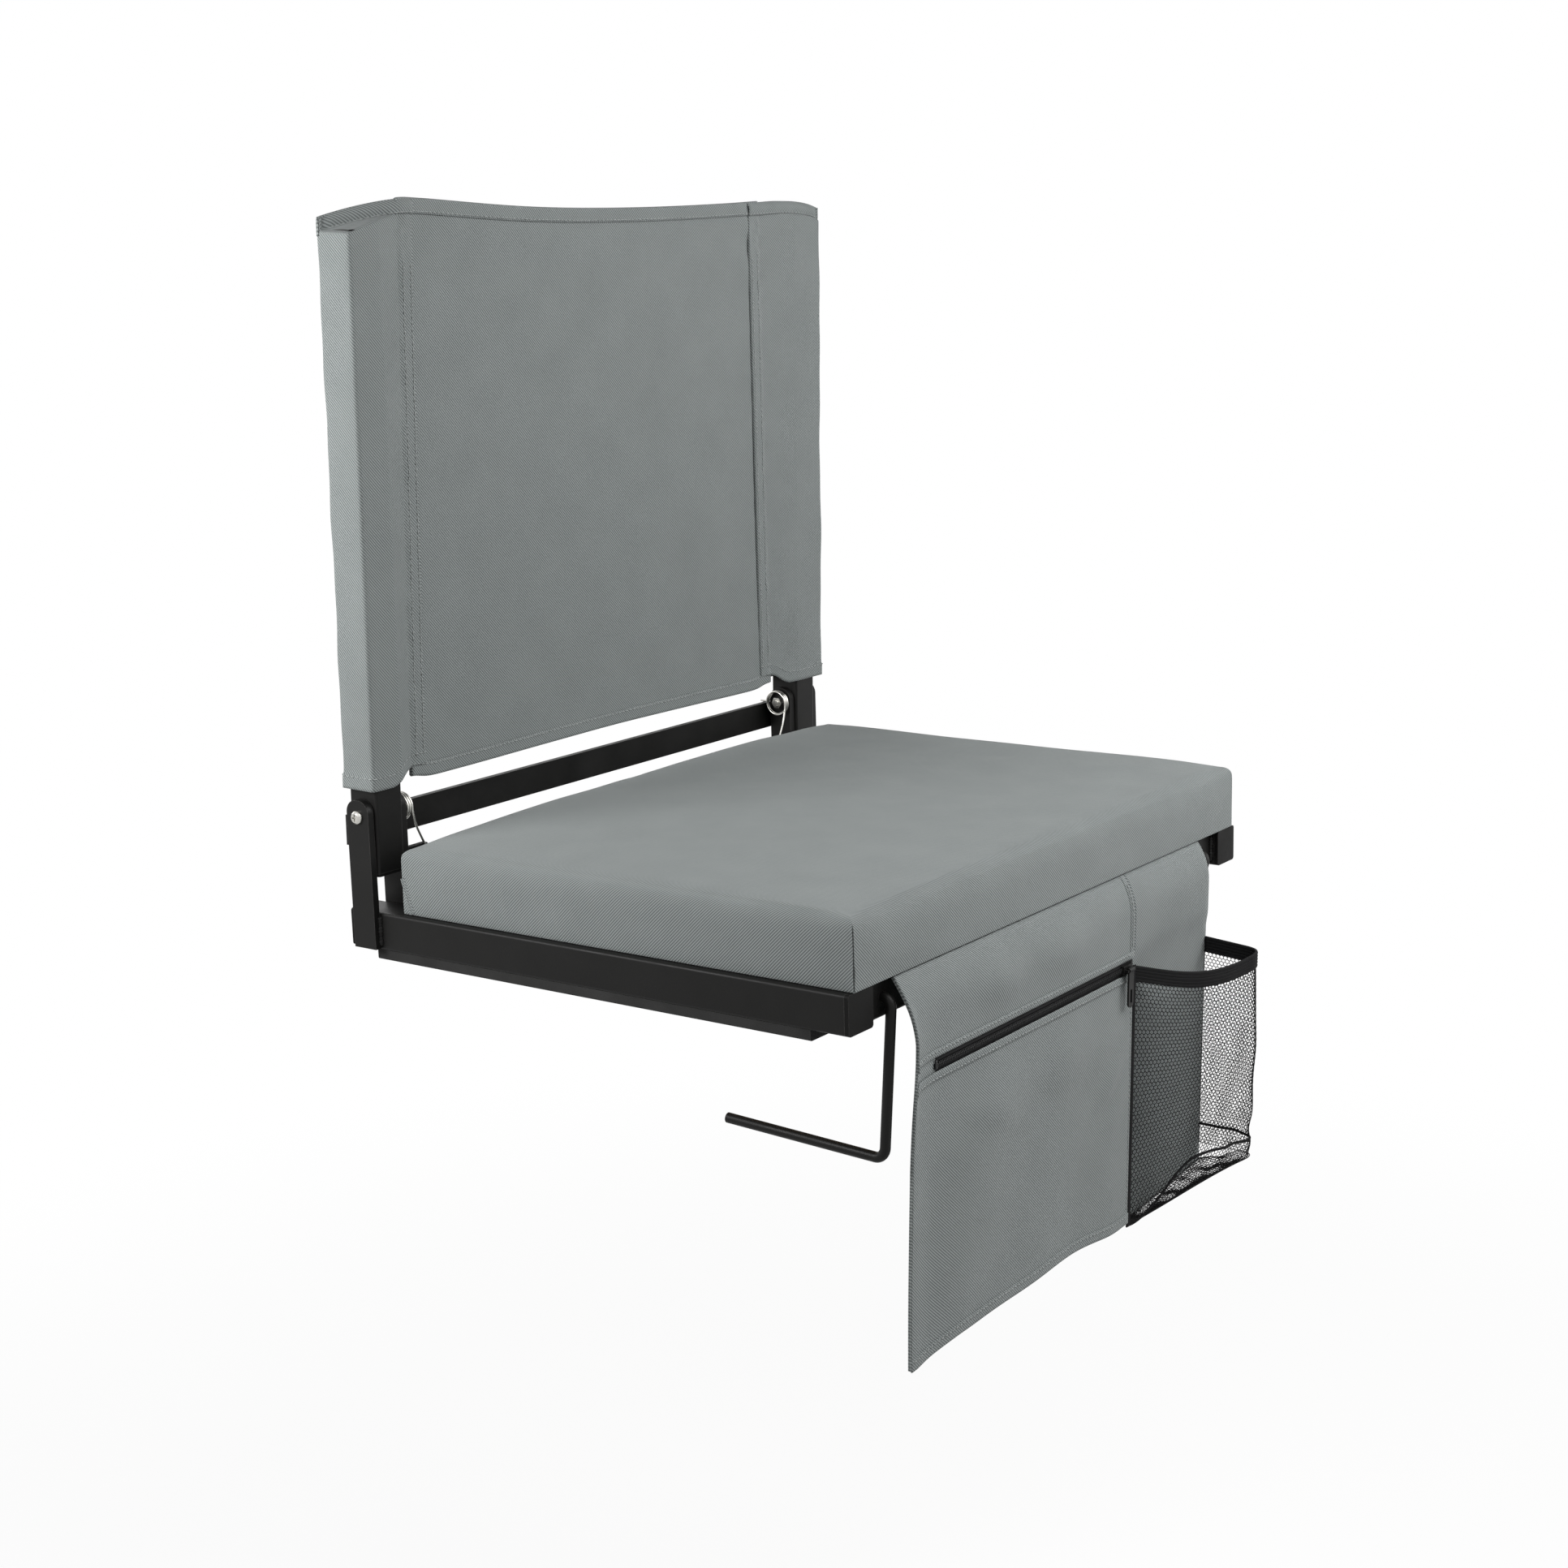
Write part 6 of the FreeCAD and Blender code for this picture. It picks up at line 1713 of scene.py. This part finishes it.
def pocket_plan(bow):
    """The pocket's plan from the seam round the bowed front and the corner to the flap's right edge."""
    start = np.array((FLAP_SEAM, NET_FACE))
    end = np.array((FLAP_RIGHT, NET_FACE - NET_DEEP))
    chord = end - start
    out = np.array((chord[1], -chord[0])) / np.linalg.norm(chord)
    shares = np.linspace(0, 1, 60)[:, None]
    front = start + chord * shares + out * bow * 4 * shares * (1 - shares)
    front = along(front, np.linspace(0, lengths(front)[-1] - NET_CORNER, FRONT_POINTS))
    side = end + np.array((0, NET_CORNER))
    shares = np.linspace(0, 1, BEND_POINTS + 1)[1:, None]
    bend = (1 - shares) ** 2 * front[-1] + 2 * shares * (1 - shares) * end + shares ** 2 * side
    return np.concatenate([front, bend, [(FLAP_RIGHT, NET_FACE)]])


def pocket_shape():
    """Plans at the mouth and at the floor, and the length round the mouth."""
    mouth = pocket_plan(NET_BOW)
    floor = pocket_plan(NET_BOW * 0.45)
    return mouth, floor, lengths(mouth)[-1]


def mouth_height(far, total):
    """Height of the elastic's top edge: sagging along the front and a little lower at the corner."""
    corner = 0.74 * total
    sag = MOUTH_SAG * np.sin(math.pi * np.clip(far / corner, 0, 1)) ** 1.2
    return -NET_MOUTH - sag - MOUTH_CORNER * np.interp(far, [0, corner, total], [0, 1, 0.7])


def floor_height(x):
    """Height of the wall's lower edge: lowest at the seam."""
    share = np.clip((x - FLAP_SEAM) / (FLAP_RIGHT - FLAP_SEAM), 0, 1)
    return -NET_FLOOR + NET_RISE * np.sin(math.pi / 2 * share)


def welt_height(x):
    """Height of the welt that crosses the wall above its lower edge."""
    return -NET_FLOOR + WELT_RISE * smooth(0, 0.5, (x - FLAP_SEAM) / (FLAP_RIGHT - FLAP_SEAM))


def net_wall(mouth, floor, total):
    """Map from net places to the pocket's wall: along the plan, and down from the mouth to the floor."""
    def place(far, share):
        at_floor = along(floor, far * lengths(floor)[-1] / total)
        spot = along(mouth, far) * (1 - share[:, None]) + at_floor * share[:, None]
        top = mouth_height(far, total) - BINDING + 2
        z = top + (floor_height(at_floor[:, 0]) - top) * share
        swell = 2.5 * np.sin(math.pi * share) * np.sin(math.pi * np.clip(far / total, 0, 1))
        crumple = 1.2 * ripple(far, z, 52, 1.1) * smooth(0.1, 0.4, share) * smooth(0, 25, far)
        gather = 2.4 * ripple(far + 0.6 * z, z, 40, 2.7) * smooth(0.6, 0.9, share) * smooth(40, 90, far)
        heading = unit(np.gradient(spot, axis=0))
        normal = np.stack([heading[:, 1], -heading[:, 0]], axis=1)
        push = (swell + crumple + gather) * smooth(total, total - 20, far) * smooth(1, 0.9, share) - 1.2
        shifted = spot + normal * push[:, None]
        shifted[:, 1] = np.minimum(shifted[:, 1], NET_FACE + 0.1)
        shifted[:, 0] = np.maximum(shifted[:, 0], FLAP_SEAM)
        return np.stack([shifted[:, 0], shifted[:, 1], z], axis=1)
    return place


def net_floor(floor):
    """Map from net places to the sloping floor: along the wall's lower edge and back to the flap's foot."""
    front = floor[:FRONT_POINTS + BEND_POINTS]

    def place(far, share):
        spot = along(front, far)
        y = spot[:, 1] + (NET_FACE - spot[:, 1]) * share
        foot = flap_lift(spot[:, 0]) - FLAP_DROP + 2
        z = floor_height(spot[:, 0])
        belly = (NET_BELLY + 1.5 * ripple(far, y, 30, 0.4)) * np.sin(math.pi * share) * smooth(0, 50, far)
        return np.stack([spot[:, 0], y, z + (foot - z) * share - belly], axis=1)
    return place, lengths(front)[-1]


def knit(name, place, total, high, axes):
    """A net of six-sided cells over a mapped surface, its strands with their own thickness."""
    finish = bpy.context.scene.chair_finish
    wide = int(round(total / (finish.cell_width / MM))) * 2
    tall = int(round(high / (finish.cell_height / MM)))
    columns = np.arange(wide + 1)
    points = []
    for row in range(tall + 1):
        zigzag = np.where((columns + row) % 2, 1, -1) * (0.17 if 0 < row < tall else 0)
        points.append(place(columns / wide * total, np.clip((row + zigzag) / tall, 0, 1)))
    points = np.concatenate(points)
    faces = []
    for row in range(tall):
        upper = row * (wide + 1)
        lower = upper + wide + 1
        uprights = [0, *(column for column in range(1, wide) if (column + row) % 2), wide]
        for left, right in zip(uprights, uprights[1:]):
            below = range(lower + left, lower + right + 1)
            above = range(upper + right, upper + left - 1, -1)
            faces.append([*below, *above])
    piece = new_piece(name, placed(axes, points), faces, None, FINISHES["black_mesh"](),
                      "flap_body")
    wires = piece.modifiers.new("strands", "WIREFRAME")
    wires.thickness = finish.strand
    wires.use_even_offset = False
    wires.use_boundary = True
    settle(piece)
    return piece


def ribbon(name, line, outward, upward, shape, axes):
    """A tape swept along a line: its section is given as pairs of out and up."""
    grid = np.stack([line + outward * out + upward * up for out, up in shape], axis=0)
    section = lengths(np.array(shape + shape[:1]))[:-1]
    uvs = np.zeros((*grid.shape[:2], 2))
    uvs[..., 0] = lengths(line) * MM
    uvs[..., 1] = section[:, None] * MM
    rows, columns = grid.shape[:2]
    turned = np.swapaxes(grid, 0, 1).reshape(-1, 3)
    turned_uvs = np.swapaxes(uvs, 0, 1).reshape(-1, 2)
    faces = [list(face) for face in grid_faces(columns, rows, ring=True)]
    faces.append(list(range(rows))[::-1])
    faces.append([(columns - 1) * rows + corner for corner in range(rows)])
    return new_piece(name, placed(axes, turned), faces, turned_uvs, FINISHES["black_tape"](),
                     "flap_body")


def outward_of(spot):
    """Directions out of the pocket along a line of plan points."""
    heading = unit(np.gradient(spot, axis=0))
    return np.stack([heading[:, 1], -heading[:, 0], np.zeros(len(spot))], axis=1)


def pocket_binding(mouth, total, axes):
    """Ribbed elastic round the pocket's mouth."""
    far = np.linspace(0, total, 90)
    spot = along(mouth, far)
    outward = outward_of(spot)
    line = np.column_stack([spot, mouth_height(far, total) - BINDING / 2]) - outward
    half = BINDING / 2
    ribs = 5
    ups = np.linspace(-half, half, ribs * 6 + 1)
    front = [(0.75 + 0.34 * abs(math.sin(math.pi * ribs * (up + half) / BINDING)), up) for up in ups]
    rear = [(-out, up) for out, up in reversed(front)]
    return ribbon("pocket_elastic", line, outward, np.array((0, 0, 1.0)), front + rear, axes)


def pocket_tapes(place, floor, total, axes):
    """Tape that sews the net to the flap down the seam, and the welt across the lower wall."""
    down = spread(-NET_MOUTH, -NET_FLOOR, 4)
    seam = np.column_stack([np.full(len(down), FLAP_SEAM + 1.6), np.full(len(down), NET_FACE - 0.6), down])
    flat = [(0.5, -2.0), (0.9, -1.2), (0.9, 1.2), (0.5, 2.0), (-0.5, 2.0), (-0.5, -2.0)]
    strip = ribbon("pocket_seam_tape", seam, np.array((0, -1.0, 0)), np.array((1.0, 0, 0)), flat, axes)
    far = np.linspace(0, total, 80)
    x = along(floor, far * lengths(floor)[-1] / total)[:, 0]
    top = mouth_height(far, total) - BINDING + 2
    line = place(far, (welt_height(x) - top) / (floor_height(x) - top))
    outward = outward_of(line[:, :2])
    turn = np.linspace(0, 2 * math.pi, 9)[:-1]
    tube = [(0.8 * math.cos(a), 1.1 * math.sin(a)) for a in turn]
    welt = ribbon("pocket_floor_welt", line, outward, np.array((0, 0, 1.0)), tube, axes)
    return strip, welt


class CHAIR_OT_knit_pocket(bpy.types.Operator):
    """Knit the net pocket with its elastic mouth, seam tape and floor"""
    bl_idname = "chair.knit_pocket"
    bl_label = "Knit pocket"

    def execute(self, context):
        axes = flap_axes()
        mouth, floor, total = pocket_shape()
        high = NET_FLOOR - NET_RISE * 0.6 - NET_MOUTH - BINDING
        wall_place = net_wall(mouth, floor, total)
        wall = knit("net_wall", wall_place, total, high, axes)
        floor_place, front = net_floor(floor)
        deep = NET_DEEP * 0.8
        base = knit("net_floor", floor_place, front, deep, axes)
        elastic = pocket_binding(mouth, total, axes)
        strip, welt = pocket_tapes(wall_place, floor, total, axes)
        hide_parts("mesh_pocket")
        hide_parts("pocket_binding")
        return {"FINISHED"}


STEPS = (
    CHAIR_OT_set_stage, CHAIR_OT_finish_frame, CHAIR_OT_sew_cushion, CHAIR_OT_sew_back,
    CHAIR_OT_hang_flap, CHAIR_OT_fit_zip, CHAIR_OT_knit_pocket)


class CHAIR_PT_panel(bpy.types.Panel):
    """Buttons for each step of dressing the chair"""
    bl_label = "Folding stadium chair"
    bl_idname = "CHAIR_PT_panel"
    bl_space_type = "VIEW_3D"
    bl_region_type = "UI"
    bl_category = "Chair"

    def draw(self, context):
        for step in STEPS:
            self.layout.operator(step.bl_idname)
        for settings in (context.scene.chair_cloth, context.scene.chair_finish, context.scene.chair_stage):
            box = self.layout.box()
            for name in settings.__annotations__:
                box.prop(settings, name)


CLASSES = (ClothSettings, FinishSettings, StageSettings, *STEPS, CHAIR_PT_panel)


def register():
    """Add the settings, the steps and the panel."""
    for item in CLASSES:
        bpy.utils.register_class(item)
    bpy.types.Scene.chair_cloth = bpy.props.PointerProperty(type=ClothSettings)
    bpy.types.Scene.chair_finish = bpy.props.PointerProperty(type=FinishSettings)
    bpy.types.Scene.chair_stage = bpy.props.PointerProperty(type=StageSettings)


def unregister():
    """Take the settings, the steps and the panel away again."""
    del bpy.types.Scene.chair_stage
    del bpy.types.Scene.chair_finish
    del bpy.types.Scene.chair_cloth
    for item in reversed(CLASSES):
        bpy.utils.unregister_class(item)


def main():
    """Dress the chair."""
    register()
    bpy.ops.chair.set_stage()
    bpy.ops.chair.finish_frame()
    bpy.ops.chair.sew_cushion()
    bpy.ops.chair.sew_back()
    bpy.ops.chair.hang_flap()
    bpy.ops.chair.fit_zip()
    bpy.ops.chair.knit_pocket()


if __name__ == "__main__":
    main()
